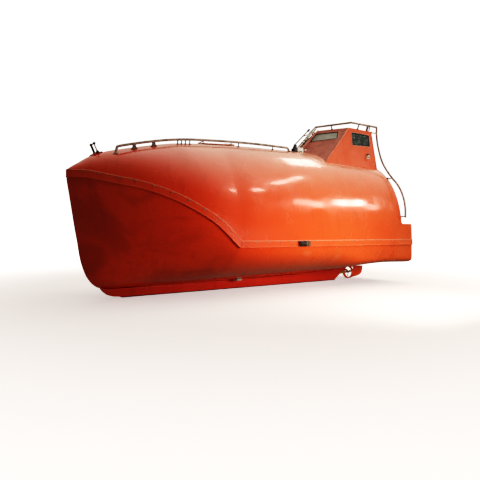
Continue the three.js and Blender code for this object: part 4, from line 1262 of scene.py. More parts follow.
ROOF_HEIGHT = 2.885
ROOF_HALF_WIDTH = 0.53
ROOF_AFT_X = -2.608
ROOF_FORE_X = -1.97
ROOF_APEX_X = -1.67
BASE_HEIGHT = 2.16
BASE_HALF_WIDTH = 0.62
BASE_AFT_X = -2.667
BASE_FORE_X = -1.26
WALL_FOOT = 2.05
PANEL = 0.04
GLASS_DEPTH = 0.006
GLASS = 0.008
WINDOW_CORNER = 0.02
HOUSE_EDGE = 0.02
HOUSE_SMOOTH = 35
# How far a window's cutter and the room's reach past the walls, and the walls into the canopy
CUT_MARGIN = 0.05
HOUSE_SINK = 0.012
# Radius of the beads on the front corners and round the foot
CORNER_BEAD = 0.0075
FOOT_BEAD = 0.009
BEAD_SMOOTH = 60

SIDE_WINDOW = [(-2.507, 2.798), (-2.017, 2.797), (-2.005, 2.552), (-2.505, 2.576)]
FRONT_WINDOW = [(0.028, 2.803), (0.405, 2.81), (0.492, 2.645), (0.048, 2.628)]
AFT_WINDOW = [(-0.26, 2.79), (0.26, 2.79), (0.26, 2.56), (-0.26, 2.56)]

FRONT_EDGE = Vector((ROOF_FORE_X, ROOF_HALF_WIDTH, ROOF_HEIGHT))
FRONT_NORMAL = (Vector((BASE_FORE_X, BASE_HALF_WIDTH, BASE_HEIGHT)) - FRONT_EDGE).cross(
    Vector((ROOF_APEX_X, 0, ROOF_HEIGHT)) - FRONT_EDGE).normalized()
if FRONT_NORMAL.x < 0:
    FRONT_NORMAL = -FRONT_NORMAL


def slant(height):
    return (ROOF_HEIGHT - height) / (ROOF_HEIGHT - BASE_HEIGHT)


def side_y(height, inset=0.0):
    return ROOF_HALF_WIDTH + (BASE_HALF_WIDTH - ROOF_HALF_WIDTH) * slant(height) - inset


def front_x(y, height, inset=0.0):
    reach = FRONT_NORMAL.dot(FRONT_EDGE) - inset
    return (reach - FRONT_NORMAL.y * y - FRONT_NORMAL.z * height) / FRONT_NORMAL.x


def aft_x(height, inset=0.0):
    return ROOF_AFT_X + (BASE_AFT_X - ROOF_AFT_X) * slant(height) + inset


def house_ring(height, inset=0.0):
    y = side_y(height, inset)
    fore, apex, aft = front_x(y, height, inset), front_x(0, height, inset), aft_x(height, inset)
    return [(x, v, up(height)) for x, v in ((aft, y), (fore, y), (apex, 0), (fore, -y), (aft, -y))]


def on_side(x, height, depth):
    return (x, side_y(height, depth), up(height))


def on_front(y, height, depth):
    return (front_x(y, height, depth), y, up(height))


def on_aft(y, height, depth):
    return (aft_x(height, depth), y, up(height))


def other_side(place):
    def flipped(u, v, depth):
        x, y, z = place(u, v, depth)
        return (x, -y, z)
    return flipped


# Panes: node, outline corners, place on the wheelhouse
PANES = [
    ("side_window_port", SIDE_WINDOW, on_side),
    ("side_window_stbd", SIDE_WINDOW, other_side(on_side)),
    ("front_window_port", FRONT_WINDOW, on_front),
    ("front_window_stbd", FRONT_WINDOW, other_side(on_front)),
    ("aft_window", AFT_WINDOW, on_aft),
]


def section_solid(name, half, grow, looks, aft=0.0):
    """Solid of a moulding's outer form, grown; aft moves its first ring back."""
    places = np.concatenate([[0.0], station_places()])
    rings = [whole(half(p, grow, CUTTER_POINTS)) for p in places]
    rings[0][:, 0] -= aft
    return Shape().rings(rings).build(name, looks)


def house_block():
    """Solid of the wheelhouse with eased edges, apart from those of its foot."""
    work = bmesh.new()
    top = [work.verts.new(p) for p in house_ring(ROOF_HEIGHT)]
    foot = [work.verts.new(p) for p in house_ring(WALL_FOOT)]
    work.faces.new(top)
    bottom = work.faces.new(foot[::-1])
    for i in range(5):
        k = (i + 1) % 5
        work.faces.new((foot[i], foot[k], top[k], top[i]))
    bmesh.ops.recalc_face_normals(work, faces=work.faces[:])
    eased = [e for e in work.edges if e not in bottom.edges[:]]
    bmesh.ops.bevel(work, geom=eased, offset=HOUSE_EDGE, segments=5, profile=0.5, affect="EDGES")
    return Shape().take(work)


def make_wheelhouse():
    looks = "house front liner"
    house = house_block().build("wheelhouse", looks, HOUSE_SMOOTH)
    # The two front panels, painted a pale greyish pink: painted sky reflection and shade
    for polygon in house.data.polygons:
        if polygon.normal.x > 0.25 and polygon.normal.z < 0.75:
            polygon.material_index = 1
    rings = [house_ring(ROOF_HEIGHT - PANEL, PANEL), house_ring(WALL_FOOT - CUT_MARGIN, PANEL)]
    cut(house, Shape().rings(rings, 2).build("house_room", looks))
    depths = (-CUT_MARGIN, PANEL + CUT_MARGIN)
    for node, corners, place in PANES:
        outline = round_outline(corners, WINDOW_CORNER)
        cut(house, prism(f"{node}_hole", outline, place, depths, looks))
    cut(house, section_solid("canopy_under", canopy_half, -HOUSE_SINK, looks, aft=0.2))
    smooth_by_angle(house.data, HOUSE_SMOOTH)
    settle(house, "canopy_gelcoat", "wheelhouse_side_port", "wheelhouse_side_stbd",
           "wheelhouse_front_port", "wheelhouse_front_stbd", "wheelhouse_aft", "wheelhouse_roof")


def make_panes():
    gaskets = Shape()
    for node, corners, place in PANES:
        hole = round_outline(corners, WINDOW_CORNER)
        look = "pale_glass" if node.startswith("front") else "glass"
        depths = (GLASS_DEPTH, GLASS_DEPTH + GLASS)
        settle(prism(f"{node}_pane", grown(hole, -0.0006), place, depths, look), "window_glass", node)
        rubber = grown(hole, 0.001), grown(hole, -0.014)
        trim = grown(hole, 0.011), grown(hole, -0.001)
        frame_ring(gaskets, *rubber, place, 0.0005, GLASS_DEPTH + 0.002, 0)
        frame_ring(gaskets, *trim, place, -0.0035, 0.004, 1)
    settle(gaskets.build("window_gaskets", "rubber trim"), "dark_plastic")


# First guesses of the height where the side and the front meet the canopy, and rounds to settle it
SIDE_FOOT_GUESS = 2.16
FRONT_FOOT_GUESS = 2.3
FOOT_ROUNDS = 12


def house_foot_line():
    """Line where the wheelhouse's port half meets the canopy, from aft to the middle of its front."""
    line = []
    for t in np.linspace(0, 1, 40):
        height = SIDE_FOOT_GUESS
        for _ in range(FOOT_ROUNDS):
            y = side_y(height)
            x = aft_x(height) + (front_x(y, height) - aft_x(height)) * t
            height = skin_z(x, y) + WATERLINE
        line.append((x, side_y(height), up(height)))
    for t in np.linspace(0, 1, 30)[1:]:
        height = FRONT_FOOT_GUESS
        for _ in range(FOOT_ROUNDS):
            y = side_y(height) * (1 - t)
            x = front_x(y, height)
            height = skin_z(x, y) + WATERLINE
        line.append((x, y, up(height)))
    return line


def to_side(place, side):
    """A place on the port side, or on the other one where side is -1."""
    return Vector((place[0], side * place[1], place[2]))


def make_corner_beads():
    """Pale bead between each side and the front panel: a painted highlight where the edge catches the
    light.
    """
    beads = Shape()
    top = Vector((ROOF_FORE_X, ROOF_HALF_WIDTH, up(ROOF_HEIGHT)))
    foot = Vector((BASE_FORE_X, BASE_HALF_WIDTH, up(BASE_HEIGHT)))
    inward = Vector((-0.3, -0.9, 0)) * 0.004
    for side in (1, -1):
        ends = [to_side(top.lerp(foot, share) + inward, side) for share in (0.03, 0.5, 0.93)]
        beads.tube(ends, CORNER_BEAD, 0, 10)
    settle(beads.build("wheelhouse_corner_beads", "worn", BEAD_SMOOTH), "canopy_gelcoat")


def make_foot_bead():
    line = house_foot_line()
    whole_line = line + [(x, -y, z) for x, y, z in line[:-1][::-1]]
    bead = Shape().tube(whole_line, FOOT_BEAD, sides=8)
    settle(bead.build("wheelhouse_bead", "canopy", BEAD_SMOOTH), "canopy_gelcoat")


# Rails

TOP_RAIL_Y = 0.33
TOP_RAIL_RADIUS = 0.0185
TOP_RAIL = [(2.395, 1.97), (2.37, 2.08), (2.3, 2.103), (2.14, 2.144), (1.78, 2.227), (1.376, 2.294),
            (0.929, 2.332), (0.398, 2.365), (-0.25, 2.384), (-0.641, 2.388), (-0.69, 2.3)]
# X of the round feet and of the closed brackets
TOP_RAIL_FEET = [1.465, 1.403, 1.337, 1.266, 0.388, -0.313]
BRACKET_FEET = [2.129, 1.841]
# Bracket rings: share of the way up to the rail, half length
BRACKET_RINGS = [(-0.006, 0.05), (0.008, 0.046), (0.3, 0.026), (0.7, 0.02), (1.0, 0.02)]
BRACKET_HALF_WIDTH = 0.012


def rail_height(x):
    xs = [p[0] for p in TOP_RAIL[2:-1]][::-1]
    hs = [p[1] for p in TOP_RAIL[2:-1]][::-1]
    return up(float(np.interp(x, xs, hs)))


def bracket(shape, x):
    """Closed bracket that narrows from the canopy up to the rail."""
    rings = []
    for share, half in BRACKET_RINGS:
        ring = []
        for along_x, across in ((-half, -1), (half, -1), (half, 1), (-half, 1)):
            low = on_skin(x + along_x, TOP_RAIL_Y + across * BRACKET_HALF_WIDTH, 0.002)
            ring.append(low.lerp(Vector((low.x, low.y, rail_height(low.x) + 0.004)), share))
        rings.append(ring)
    shape.rings(rings, 1)
    weld(shape, (x, TOP_RAIL_Y, rail_height(x)), 0.02)


def make_top_rails():
    shape = Shape()
    fore, aft = TOP_RAIL[:2], TOP_RAIL[-1]
    middle = through([(x, TOP_RAIL_Y, up(h)) for x, h in TOP_RAIL[2:-1]], 50)
    line = [Vector((x, TOP_RAIL_Y, up(h))) for x, h in fore] + [Vector(p) for p in middle]
    shape.tube(bent(line + [(aft[0], TOP_RAIL_Y, up(aft[1]))], 0.035), TOP_RAIL_RADIUS)
    for x in TOP_RAIL_FEET:
        y = TOP_RAIL_Y - 0.004
        shape.tube([(x, TOP_RAIL_Y, rail_height(x)), on_skin(x, y, -0.006)], 0.009, 0, 12)
        foot_disc(shape, x, y, 0.028, 1)
        weld(shape, (x, TOP_RAIL_Y, rail_height(x) - 0.008), 0.0145)
    for x in BRACKET_FEET:
        bracket(shape, x)
    for x in (fore[0][0], aft[0]):
        foot_disc(shape, x, TOP_RAIL_Y, 0.034, 1)
    settle_pair(shape, "top_rail", "tube", "steel dull", TUBE_SMOOTH, "stainless")


ROOF_RAIL_RADIUS = 0.0185
RAIL_AFT_X = -2.715
RAIL_AFT = Vector((RAIL_AFT_X, 0.56, up(2.978)))
RAIL_FORE = Vector((-1.996, 0.56, up(2.97)))
RAIL_APEX = Vector((-1.632, 0, up(2.943)))
# Posts: the corners they stand between, share of the way, roof X, roof Y
ROOF_POSTS = [(RAIL_FORE, RAIL_AFT, 0.3, -2.212, 0.515), (RAIL_FORE, RAIL_AFT, 0.67, -2.48, 0.515),
              (RAIL_FORE, RAIL_APEX, 0.56, -1.83, 0.232)]
# X of the short clips between the rail and the roof's edge
ROOF_CLIPS = (-2.433, -2.512)


def roof_post(shape, head, foot):
    shape.tube([head, foot + Vector((0, 0, -0.004))], 0.012, 1, 12)
    weld(shape, head, 0.0155)
    shape.lathe([(0.026, -0.002), (0.026, 0.003), (0.022, 0.005), (0.012, 0.006), (0, 0.012)],
                foot, (0, 0, 1), 1, 18)


def roof_clip(shape, x, side):
    head = to_side(RAIL_FORE.lerp(RAIL_AFT, (RAIL_FORE.x - x) / (RAIL_FORE.x - RAIL_AFT_X)), side)
    bend = (x - 0.01, side * 0.545, head.z - 0.045)
    shape.tube([head, bend, (x - 0.012, side * 0.528, up(ROOF_HEIGHT))], 0.01, 1, 10)
    weld(shape, head, 0.021, 1)


def make_roof_rail():
    shape = Shape()
    drop = Vector((0, 0, -0.03))
    path = [RAIL_AFT + drop, RAIL_AFT, RAIL_FORE, RAIL_APEX]
    path += [to_side(RAIL_FORE, -1), to_side(RAIL_AFT, -1), to_side(RAIL_AFT, -1) + drop]
    shape.tube(bent(path, 0.03, 7), ROOF_RAIL_RADIUS)
    for start, end, share, roof_x, roof_y in ROOF_POSTS:
        for side in (1, -1):
            head = to_side(start.lerp(end, share), side)
            roof_post(shape, head, Vector((roof_x, side * roof_y, up(ROOF_HEIGHT))))
    for x in ROOF_CLIPS:
        for side in (1, -1):
            roof_clip(shape, x, side)
    knob = [(0, -0.02), (0.013, -0.016), (0.018, 0), (0.013, 0.016), (0, 0.02)]
    shape.lathe(knob, RAIL_APEX, (0, 0, 1), 1, 16)
    settle(shape.build("roof_rail_tube", "steel dull", TUBE_SMOOTH), "stainless", "roof_rail")


AFT_RAIL_RADIUS = 0.0175
# After rail: Y and height
AFT_RAIL = [(0.56, 2.957), (0.56, 2.82), (0.615, 2.515), (0.7, 2.27), (0.8, 2.108), (0.915, 1.96),
            (1.045, 1.81), (1.12, 1.68), (1.178, 1.52), (1.203, 1.36), (1.205, 1.215)]


def make_aft_rails():
    shape = Shape()
    line = through([(RAIL_AFT_X, y, up(h)) for y, h in AFT_RAIL], 64)
    shape.tube(line, AFT_RAIL_RADIUS)
    feet = [
        ((RAIL_AFT_X, 0.915, up(1.96)), (BULKHEAD_X + 0.004, 0.826, up(1.948))),
        ((RAIL_AFT_X, 1.203, up(1.225)), (BULKHEAD_X + 0.004, 1.098, up(1.222))),
        ((RAIL_AFT_X, 0.56, up(2.895)), (aft_x(2.866) + 0.004, 0.515, up(2.866))),
    ]
    for head, foot in feet:
        bend = (RAIL_AFT_X + 0.004, foot[1] * 0.4 + head[1] * 0.6, foot[2])
        shape.tube(bent([head, bend, foot], 0.02), 0.011, 0, 12)
        weld(shape, head, 0.0155)
        disc = [(0.024, 0.008), (0.024, 0.001), (0.02, -0.001), (0, -0.002)]
        shape.lathe(disc, foot, (1, 0, 0), 1, 18)
    plug = [(0.0125, 0.002), (0.0145, -0.002), (0.0145, -0.008), (0.010, -0.012), (0, -0.013)]
    shape.lathe(plug, Vector(line[-1]), (0, 0, 1), 2, 16)
    settle_pair(shape, "aft_rail", "tube", "steel dull rubber", TUBE_SMOOTH, "stainless")


def make_front_rails():
    """Rails that climb to the roof: a thick one with a strip beside it, and a thin stay."""
    shape = Shape()
    grab = [(-1.12, 0.03, up(2.375)), (-1.15, 0.03, up(2.485)), (-1.2, 0.03, up(2.535)),
            (-1.42, 0.03, up(2.745)), (-1.606, 0.022, up(2.91))]
    shape.tube(bent(grab, 0.08, 8), 0.023, 0, 18)
    strip = [(x - 0.02, 0.07, z - 0.045) for x, y, z in grab[1:]]
    shape.tube(bent(strip, 0.08, 8), 0.012, 4, 12)
    stay = [(-1.25, -0.25, up(2.33)), (-1.265, -0.25, up(2.52)), (-1.31, -0.25, up(2.605)),
            (-1.5, -0.25, up(2.775)), (-1.69, -0.25, up(2.945))]
    shape.tube(bent(stay, 0.05, 8), 0.0115, 1, 14)
    shape.tube([(-1.53, -0.25, up(2.802)), (-1.47, 0.03, up(2.792))], 0.008, 1, 12)
    shape.tube([(-1.655, -0.25, up(2.914)), (-1.7, -0.25, up(2.954))], 0.019, 2, 16)
    collar = [(0.0235, -0.008), (0.0275, -0.006), (0.0275, 0.006), (0.0235, 0.008)]
    low, high = Vector(grab[2]), Vector(grab[3])
    for share in (0.25, 0.5, 0.78):
        shape.lathe(collar, low.lerp(high, share), high - low, 3, 18)
    foot_disc(shape, -1.12, 0.03, 0.045, 1)
    foot_disc(shape, -1.25, -0.25, 0.034, 1)
    tubes = shape.build("front_rail_tubes", "pale_steel steel dark dull trim", TUBE_SMOOTH)
    settle(tubes, "stainless", "front_rails")


# Bow lug, lamps, brackets, anodes, hook


LUG_Y = 0.07
# X and height of the pin between the two lugs
PIN_X, PIN_HEIGHT = 2.6, 2.14
LUG_SMOOTH = 45


def lug_pad():
    """Pad under both lugs that follows the canopy."""
    rings = []
    for x in np.linspace(2.49, 2.615, 10):
        top = [on_skin(x, y, 0.016 if abs(y) < 0.075 else 0.013) for y in np.linspace(-0.095, 0.095, 17)]
        rings.append(top + [on_skin(x, y, -0.004) for y in np.linspace(0.095, -0.095, 17)])
    return rings


def make_bow_lug():
    shape = Shape().rings(lug_pad(), 2)
    boss = [(0.03, 0.0), (0.028, 0.006), (0.016, 0.022), (0.013, 0.03)]
    knob = [(0, -0.012), (0.016, -0.01), (0.019, 0), (0.016, 0.01), (0, 0.012)]
    for side, thick, slot in ((1, 0.009, 1), (-1, 0.016, 0)):
        y = side * LUG_Y
        shape.tube([(2.543, y, skin_z(2.543, y)), (PIN_X, y * 0.96, up(2.135))], thick, slot)
        shape.lathe(boss, on_skin(2.545, y, 0.014), (0.25, 0, 0.95), 0, 18)
        shape.lathe(knob, (PIN_X, side * 0.078, up(PIN_HEIGHT)), (0, 1, 0), 0, 16)
    shape.tube([(PIN_X, -0.08, up(PIN_HEIGHT)), (PIN_X, 0.08, up(PIN_HEIGHT))], 0.0105, 1)
    settle(shape.build("bow_lug_form", "dark_steel steel keel", LUG_SMOOTH), "dark_steel", "bow_lug")


LAMP_Y = 0.195
LAMP_FACE_X = -1.095
LAMP_TOP = 2.452


def make_canopy_lamp():
    mount = Shape()
    mount.block((-0.952, LAMP_Y - 0.04, up(2.36)), (-0.872, LAMP_Y + 0.04, up(2.425)), 0.006)
    mount.block((-0.966, LAMP_Y - 0.006, up(2.40)), (-0.90, LAMP_Y + 0.012, up(2.5)), 0.004)
    settle(mount.build("lamp_mount_form", "dark"), "dark_plastic", "lamp_mount")
    lamp = Shape()
    lamp.block((-1.1, LAMP_Y - 0.045, up(2.365)), (-0.955, LAMP_Y + 0.045, up(LAMP_TOP)), 0.012, 0, 3)
    lamp.block((-1.06, LAMP_Y - 0.047, up(2.375)), (-0.99, LAMP_Y + 0.047, up(2.39)), 0.004, 1)
    face = (LAMP_FACE_X, LAMP_Y, up(2.43))
    lamp.lathe(button(0.024, 0.035, 0.02, 0.04), face, (-1, 0, 0), 1)
    lamp.lathe([(0.014, 0.03), (0.014, 0.11), (0.011, 0.118), (0, 0.12)], face, (-1, 0, 0), 2, 20)
    for y in (-0.03, 0.03):
        screw = (-1.02, LAMP_Y + y, up(LAMP_TOP))
        lamp.lathe(button(0.006, 0.003, 0.004, 0.005), screw, (0, 0, 1), 3, 10)
    settle(lamp.build("canopy_lamp_form", "white dark lens bright"), "white_plastic", "canopy_lamp")


SIDE_LAMP_X = -2.3825
SIDE_LAMP_HEIGHT = 2.351


def make_side_lamp():
    shape = Shape()
    x = SIDE_LAMP_X
    z = up(SIDE_LAMP_HEIGHT)
    shape.block((x - 0.0325, 0.56, up(2.318)), (x + 0.0325, 0.648, up(2.385)), 0.009, 0, 3)
    shape.lathe(button(0.025, 0.006, 0.023, 0.009), (x, 0.648, z), (0, 1, 0), 1)
    shape.lathe([(0.021, 0), (0.02, 0.004), (0.012, 0.009), (0.0, 0.01)], (x, 0.65, z), (0, 1, 0), 2)
    shape.tube([(x, 0.6, up(2.38)), (x, 0.642, up(2.428))], 0.013, 1, 16)
    shape.tube([(x, 0.614, up(2.396)), (x, 0.626, up(2.41))], 0.0165, 3, 16)
    lamp = shape.build("side_lamp_form", "white bright lens rubber")
    settle(lamp, "white_plastic", "side_lamp_port")


def lobe(shape, x0, x1, y0, y1, low, high, slot=0):
    """Bracket lobe with rounded outer corners."""
    outline = round_outline([(y0, low), (y1, low), (y1, high), (y0, high)], 0.018, 5)
    shape.rings([[(x, y, up(h)) for y, h in grown(outline, -0.003 if k in (0, 3) else 0.0)]
                 for k, x in enumerate((x0, x0 + 0.003, x1 - 0.003, x1))], slot)


# Y of the side face that the lashing brackets stand on, and the height of their pin
BRACKET_Y = HALF_BEAM + 0.0356
BRACKET_PIN = 0.756


def make_lashing_brackets():
    y = BRACKET_Y
    z = up(BRACKET_PIN)
    shape = Shape()
    shape.block((-0.345, y - 0.002, up(0.712)), (-0.12, y + 0.01, up(0.8)), 0.004)
    for x0, x1, slot in ((-0.33, -0.245, 1), (-0.215, -0.135, 0)):
        lobe(shape, x0, x1, y + 0.004, y + 0.046, 0.718, 0.794, slot)
    shape.tube([(-0.338, y + 0.026, z), (-0.127, y + 0.026, z)], 0.011, 1, 16)
    for x in (-0.335, -0.13):
        for h in (0.724, 0.788):
            bolt(shape, (x, y + 0.01, up(h)), (0, 1, 0), 1, 0.8)
    shape.lathe(button(0.02, 0.006, 0.015, 0.009), (-0.288, y + 0.046, z), (0, 1, 0), 1, 18)
    settle_pair(shape, "lashing_bracket", "form", "dark_steel dull", SMOOTH_ANGLE, "dark_steel")


# Anodes: after and fore end, width, foot and top, and the lowest Y of each
ANODE_X = (0.248, 0.352)
ANODE_WIDTH = 0.06
ANODE_HEIGHTS = (0.138, 0.22)
ANODE_LOW_Y = {"port": 0.17, "stbd": -0.23}


def make_anodes():
    for side, y in ANODE_LOW_Y.items():
        low = (ANODE_X[0], y, up(ANODE_HEIGHTS[0]))
        high = (ANODE_X[1], y + ANODE_WIDTH, up(ANODE_HEIGHTS[1]))
        anode = Shape().block(low, high, 0.012, 0, 3).build(f"anode_{side}_form", "zinc")
        cut(anode, section_solid(f"hull_room_{side}", hull_half, 0.0005, "zinc"))
        settle(anode, "anode_zinc", f"anode_{side}")


def hook_bolts(shape):
    for y in (-0.105, 0.105):
        for h in (0.475, 0.59, 0.705):
            shape.lathe(button(0.014, 0.006, 0.011, 0.009, -0.002), (TRANSOM_X - 0.0163, y, up(h)),
                        (-1, 0, 0), 1, 6)
    for side in (1, -1):
        shape.lathe(button(0.022, 0.008, 0.018, 0.011), (TRANSOM_X - 0.095, side * 0.06, up(0.592)),
                    (0, side, 0), 1, 20)


# Keel, stern and door


def make_keel():
    refine("keel", "hull_gelcoat", "keel", 0.008)
    refine("keel_shoe", "shoe_steel", "shoe")


def make_stern():
    refine("aft_bulkhead", "canopy_gelcoat", "canopy")
    refine("stern_deck", "canopy_gelcoat", "deck", 0.004)
    refine("release_hook", "stainless", "steel dull", extra=hook_bolts)


DOOR_OUTER = BULKHEAD_X - 0.04
DOOR_LOW, DOOR_HIGH = 1.105, 2.16
DOOR_LEFT, DOOR_RIGHT = -0.35, 0.33
DOOR_HINGE_Y = 0.352
DOOR_HINGE_HEIGHTS = (1.28, 1.98)
PORTHOLE_HEIGHT = 1.85
PORTHOLE = (DOOR_OUTER, 0, up(PORTHOLE_HEIGHT))
# Radius of the circle that the porthole's screws stand on
PORTHOLE_SCREWS = 0.121
HANDLE_Y, HANDLE_HEIGHT = -0.26, 1.56
# Leaf from its outer to its inner face: inset of the edge, depth
DOOR_ROWS = ((0.008, 0.0), (0.0025, 0.0015), (0.0, 0.007), (0.0, 0.03), (0.002, 0.034))


def on_door(y, height, depth):
    return (DOOR_OUTER + depth, y, up(height))


def door_leaf(outline):
    rings = [[on_door(y, h, depth) for y, h in grown(outline, -inset)] for inset, depth in DOOR_ROWS]
    door = Shape().rings(rings).build("stern_door_leaf", "canopy")
    hole = Shape().lathe([(0.11, -0.1), (0.11, 0.1)], PORTHOLE, (1, 0, 0), 0, 48)
    cut(door, hole.build("porthole_hole", "canopy"))
    smooth_by_angle(door.data)
    settle(door, "canopy_gelcoat", "stern_door", body="door")


def porthole_ring(trim):
    trim.lathe([(0.108, 0.004), (0.108, -0.006), (0.114, -0.009), (0.128, -0.008), (0.134, -0.003),
                (0.134, 0.002)], PORTHOLE, (1, 0, 0), 1, 48)
    for i in range(8):
        angle = math.pi * (i + 0.5) / 4
        place = (DOOR_OUTER - 0.0085, PORTHOLE_SCREWS * math.cos(angle),
                 up(PORTHOLE_HEIGHT) + PORTHOLE_SCREWS * math.sin(angle))
        trim.lathe(button(0.005, 0.002, 0.003, 0.004), place, (-1, 0, 0), 3, 10)


def hinge_strap(trim, height):
    """Strap and knuckle of one door hinge, with its bolts."""
    low = (DOOR_OUTER - 0.008, 0.12, up(height - 0.025))
    trim.block(low, (DOOR_OUTER + 0.002, DOOR_HINGE_Y - 0.004, up(height + 0.025)), 0.003, 1)
    trim.tube([(DOOR_OUTER - 0.004, DOOR_HINGE_Y, up(height - 0.0457)),
               (DOOR_OUTER - 0.004, DOOR_HINGE_Y, up(height + 0.0457))], 0.011, 1, 20)
    for y in (0.15, 0.21, 0.27):
        bolt(trim, (DOOR_OUTER - 0.008, y, up(height)), (-1, 0, 0), 3, 0.75)


def door_handle(trim):
    z = up(HANDLE_HEIGHT)
    rose = [(0.03, 0), (0.03, 0.006), (0.026, 0.009), (0.014, 0.012), (0.014, 0.042), (0, 0.042)]
    trim.lathe(rose, (DOOR_OUTER + 0.002, HANDLE_Y, z), (-1, 0, 0), 1)
    trim.tube([(DOOR_OUTER - 0.038, HANDLE_Y - 0.008, z), (DOOR_OUTER - 0.038, HANDLE_Y + 0.06, z),
               (DOOR_OUTER - 0.036, -0.122, up(1.556))], 0.0105, 3)
    trim.block((DOOR_OUTER - 0.01, 0.30, up(1.42)), (DOOR_OUTER, 0.322, up(1.7)), 0.004, 1)


def make_door():
    corners = [(DOOR_LEFT, DOOR_LOW), (DOOR_RIGHT, DOOR_LOW), (DOOR_RIGHT, DOOR_HIGH),
               (DOOR_LEFT, DOOR_HIGH)]
    outline = round_outline(corners, 0.05, 6)
    door_leaf(outline)
    trim = Shape()
    frame_ring(trim, grown(outline, -0.045), grown(outline, -0.075), on_door, -0.004, 0.004, 0)
    frame_ring(trim, grown(outline, -0.008), grown(outline, -0.028), on_door, 0.033, 0.0392, 2)
    porthole_ring(trim)
    for height in DOOR_HINGE_HEIGHTS:
        hinge_strap(trim, height)
    door_handle(trim)
    settle(trim.build("stern_door_trim", "canopy steel rubber dull"), "stainless", body="door")
    pane = Shape().lathe([(0.1096, 0.004), (0.1096, 0.02)], PORTHOLE, (1, 0, 0), 0, 48)
    settle(pane.build("door_pane_form", "glass"), "window_glass", "door_pane", body="door")
    refine("door_hinge_1", "stainless", "steel dull", 0.0015, extra=low_hinge_bolts)
    refine("door_hinge_2", "stainless", "steel dull", 0.0015, extra=high_hinge_bolts)


def hinge_bolts(shape, height):
    for y in (0.385, 0.412):
        for rise in (-0.045, 0.045):
            bolt(shape, (BULKHEAD_X - 0.009, y, up(height + rise)), (-1, 0, 0), 1, 0.75)


def low_hinge_bolts(shape):
    hinge_bolts(shape, DOOR_HINGE_HEIGHTS[0])


def high_hinge_bolts(shape):
    hinge_bolts(shape, DOOR_HINGE_HEIGHTS[1])


# Escape hatch

HATCH_HINGE_Y = (-0.13, 0.13)
# Hinge line of the hatch: X and row height
HATCH_PIN_X, HATCH_PIN_Z = 0.41, up(2.366)
LID_OVERLAP = 0.028
LID_TOP = 0.016
# Edge of the lid: inset, lift above the canopy
LID_ROWS = [(0.004, 0.006), (0.0, 0.008), (0.0, 0.0125), (0.001, 0.015), (0.004, LID_TOP)]
SEAL_ROWS = [(0.012, 0.0012), (0.012, 0.006), (0.03, 0.006), (0.03, 0.0012)]


def lid_ring(inset, lift, corner=0.06):
    """Points round the lid's edge, on the canopy's curve."""
    half = HATCH_HALF + LID_OVERLAP
    square = [(HATCH_X - half, -half), (HATCH_X + half, -half), (HATCH_X + half, half),
              (HATCH_X - half, half)]
    outline = grown(round_outline(square, corner, 8), -inset)
    fine = []
    for a, b in zip(outline, np.roll(outline, -1, axis=0)):
        parts = max(1, int(np.linalg.norm(b - a) / 0.05))
        fine += [a + (b - a) * k / parts for k in range(parts)]
    return [on_skin(x, y, lift) for x, y in fine]


def hatch_lid():
    rings = [lid_ring(inset, lift) for inset, lift in LID_ROWS]
    centre = np.array([HATCH_X, 0.0])
    for share in (0.8, 0.6, 0.4, 0.2, 0.04):
        ring = []
        for p in lid_ring(0.004, 0.0):
            flat = centre + (np.array([p.x, p.y]) - centre) * share
            ring.append(on_skin(flat[0], flat[1], LID_TOP + 0.002 * (1 - share)))
        rings.append(ring)
    return Shape().rings(rings)


def hatch_grip(trim):
    rise = Vector((0, 0, 0.03))
    feet = [on_skin(HATCH_X + 0.19, side * 0.08, LID_TOP) for side in (-1, 1)]
    grip = bent([feet[0], feet[0] + rise, feet[1] + rise, feet[1]], 0.015)
    trim.tube(grip, 0.0068, 0, 12)
    for foot in feet:
        trim.lathe(button(0.017, 0.003, 0.01, 0.006), foot, (0, 0, 1), 0, 16)


def hatch_strap(trim, y):
    """Strap from the lid to one of its hinges, with its bolt."""
    x, z = HATCH_PIN_X, HATCH_PIN_Z
    flat = [(-0.016, -0.003), (0.016, -0.003), (0.016, 0.003), (-0.016, 0.003)]
    strap = bent([(x, y, z), (x + 0.03, y, z), on_skin(0.48, y, 0.019), on_skin(0.53, y, 0.019)], 0.02)
    trim.sweep(strap, flat, 0, upright=(0, 0, 1))
    trim.tube([(x, y - 0.016, z), (x, y + 0.016, z)], 0.01, 0, 18)
    bolt(trim, on_skin(0.5, y, 0.022), (0, 0, 1), 2, 0.7)


def make_hatch():
    lid = hatch_lid().build("escape_hatch_lid", "lid", TUBE_SMOOTH)
    settle(lid, "canopy_gelcoat", "escape_hatch", body="hatch")
    trim = Shape().rings([lid_ring(inset, lift) for inset, lift in SEAL_ROWS], 1, closed=True)
    hatch_grip(trim)
    for y in HATCH_HINGE_Y:
        hatch_strap(trim, y)
    settle(trim.build("escape_hatch_trim", "steel rubber dull"), "stainless", body="hatch")
    for i in (1, 2):
        refine(f"hatch_hinge_{i}", "stainless", "steel", 0.0012)


# Inside: engine block, casing, seat, console


def helm_seat():
    seat = Shape()
    seat.block((-2.42, -0.21, up(2.15)), (-2.02, 0.21, up(2.2)), 0.02, 0, 3)
    seat.block((-2.41, -0.2, up(2.13)), (-2.03, 0.2, up(2.152)), 0.006, 1)
    seat.block((-2.47, -0.21, up(2.135)), (-2.405, 0.21, up(2.62)), 0.024, 0, 3)
    seat.lathe([(0.11, 0), (0.11, 0.012), (0.06, 0.03), (0.045, 0.06), (0.045, 0.25)],
               (-2.21, 0, up(1.8803)), (0, 0, 1), 1)
    return seat


# Centre of the helm wheel and its radius
WHEEL_HUB = Vector((-1.854, 0, up(2.448)))
WHEEL_RADIUS = 0.14
WHEEL_SIDES = 48


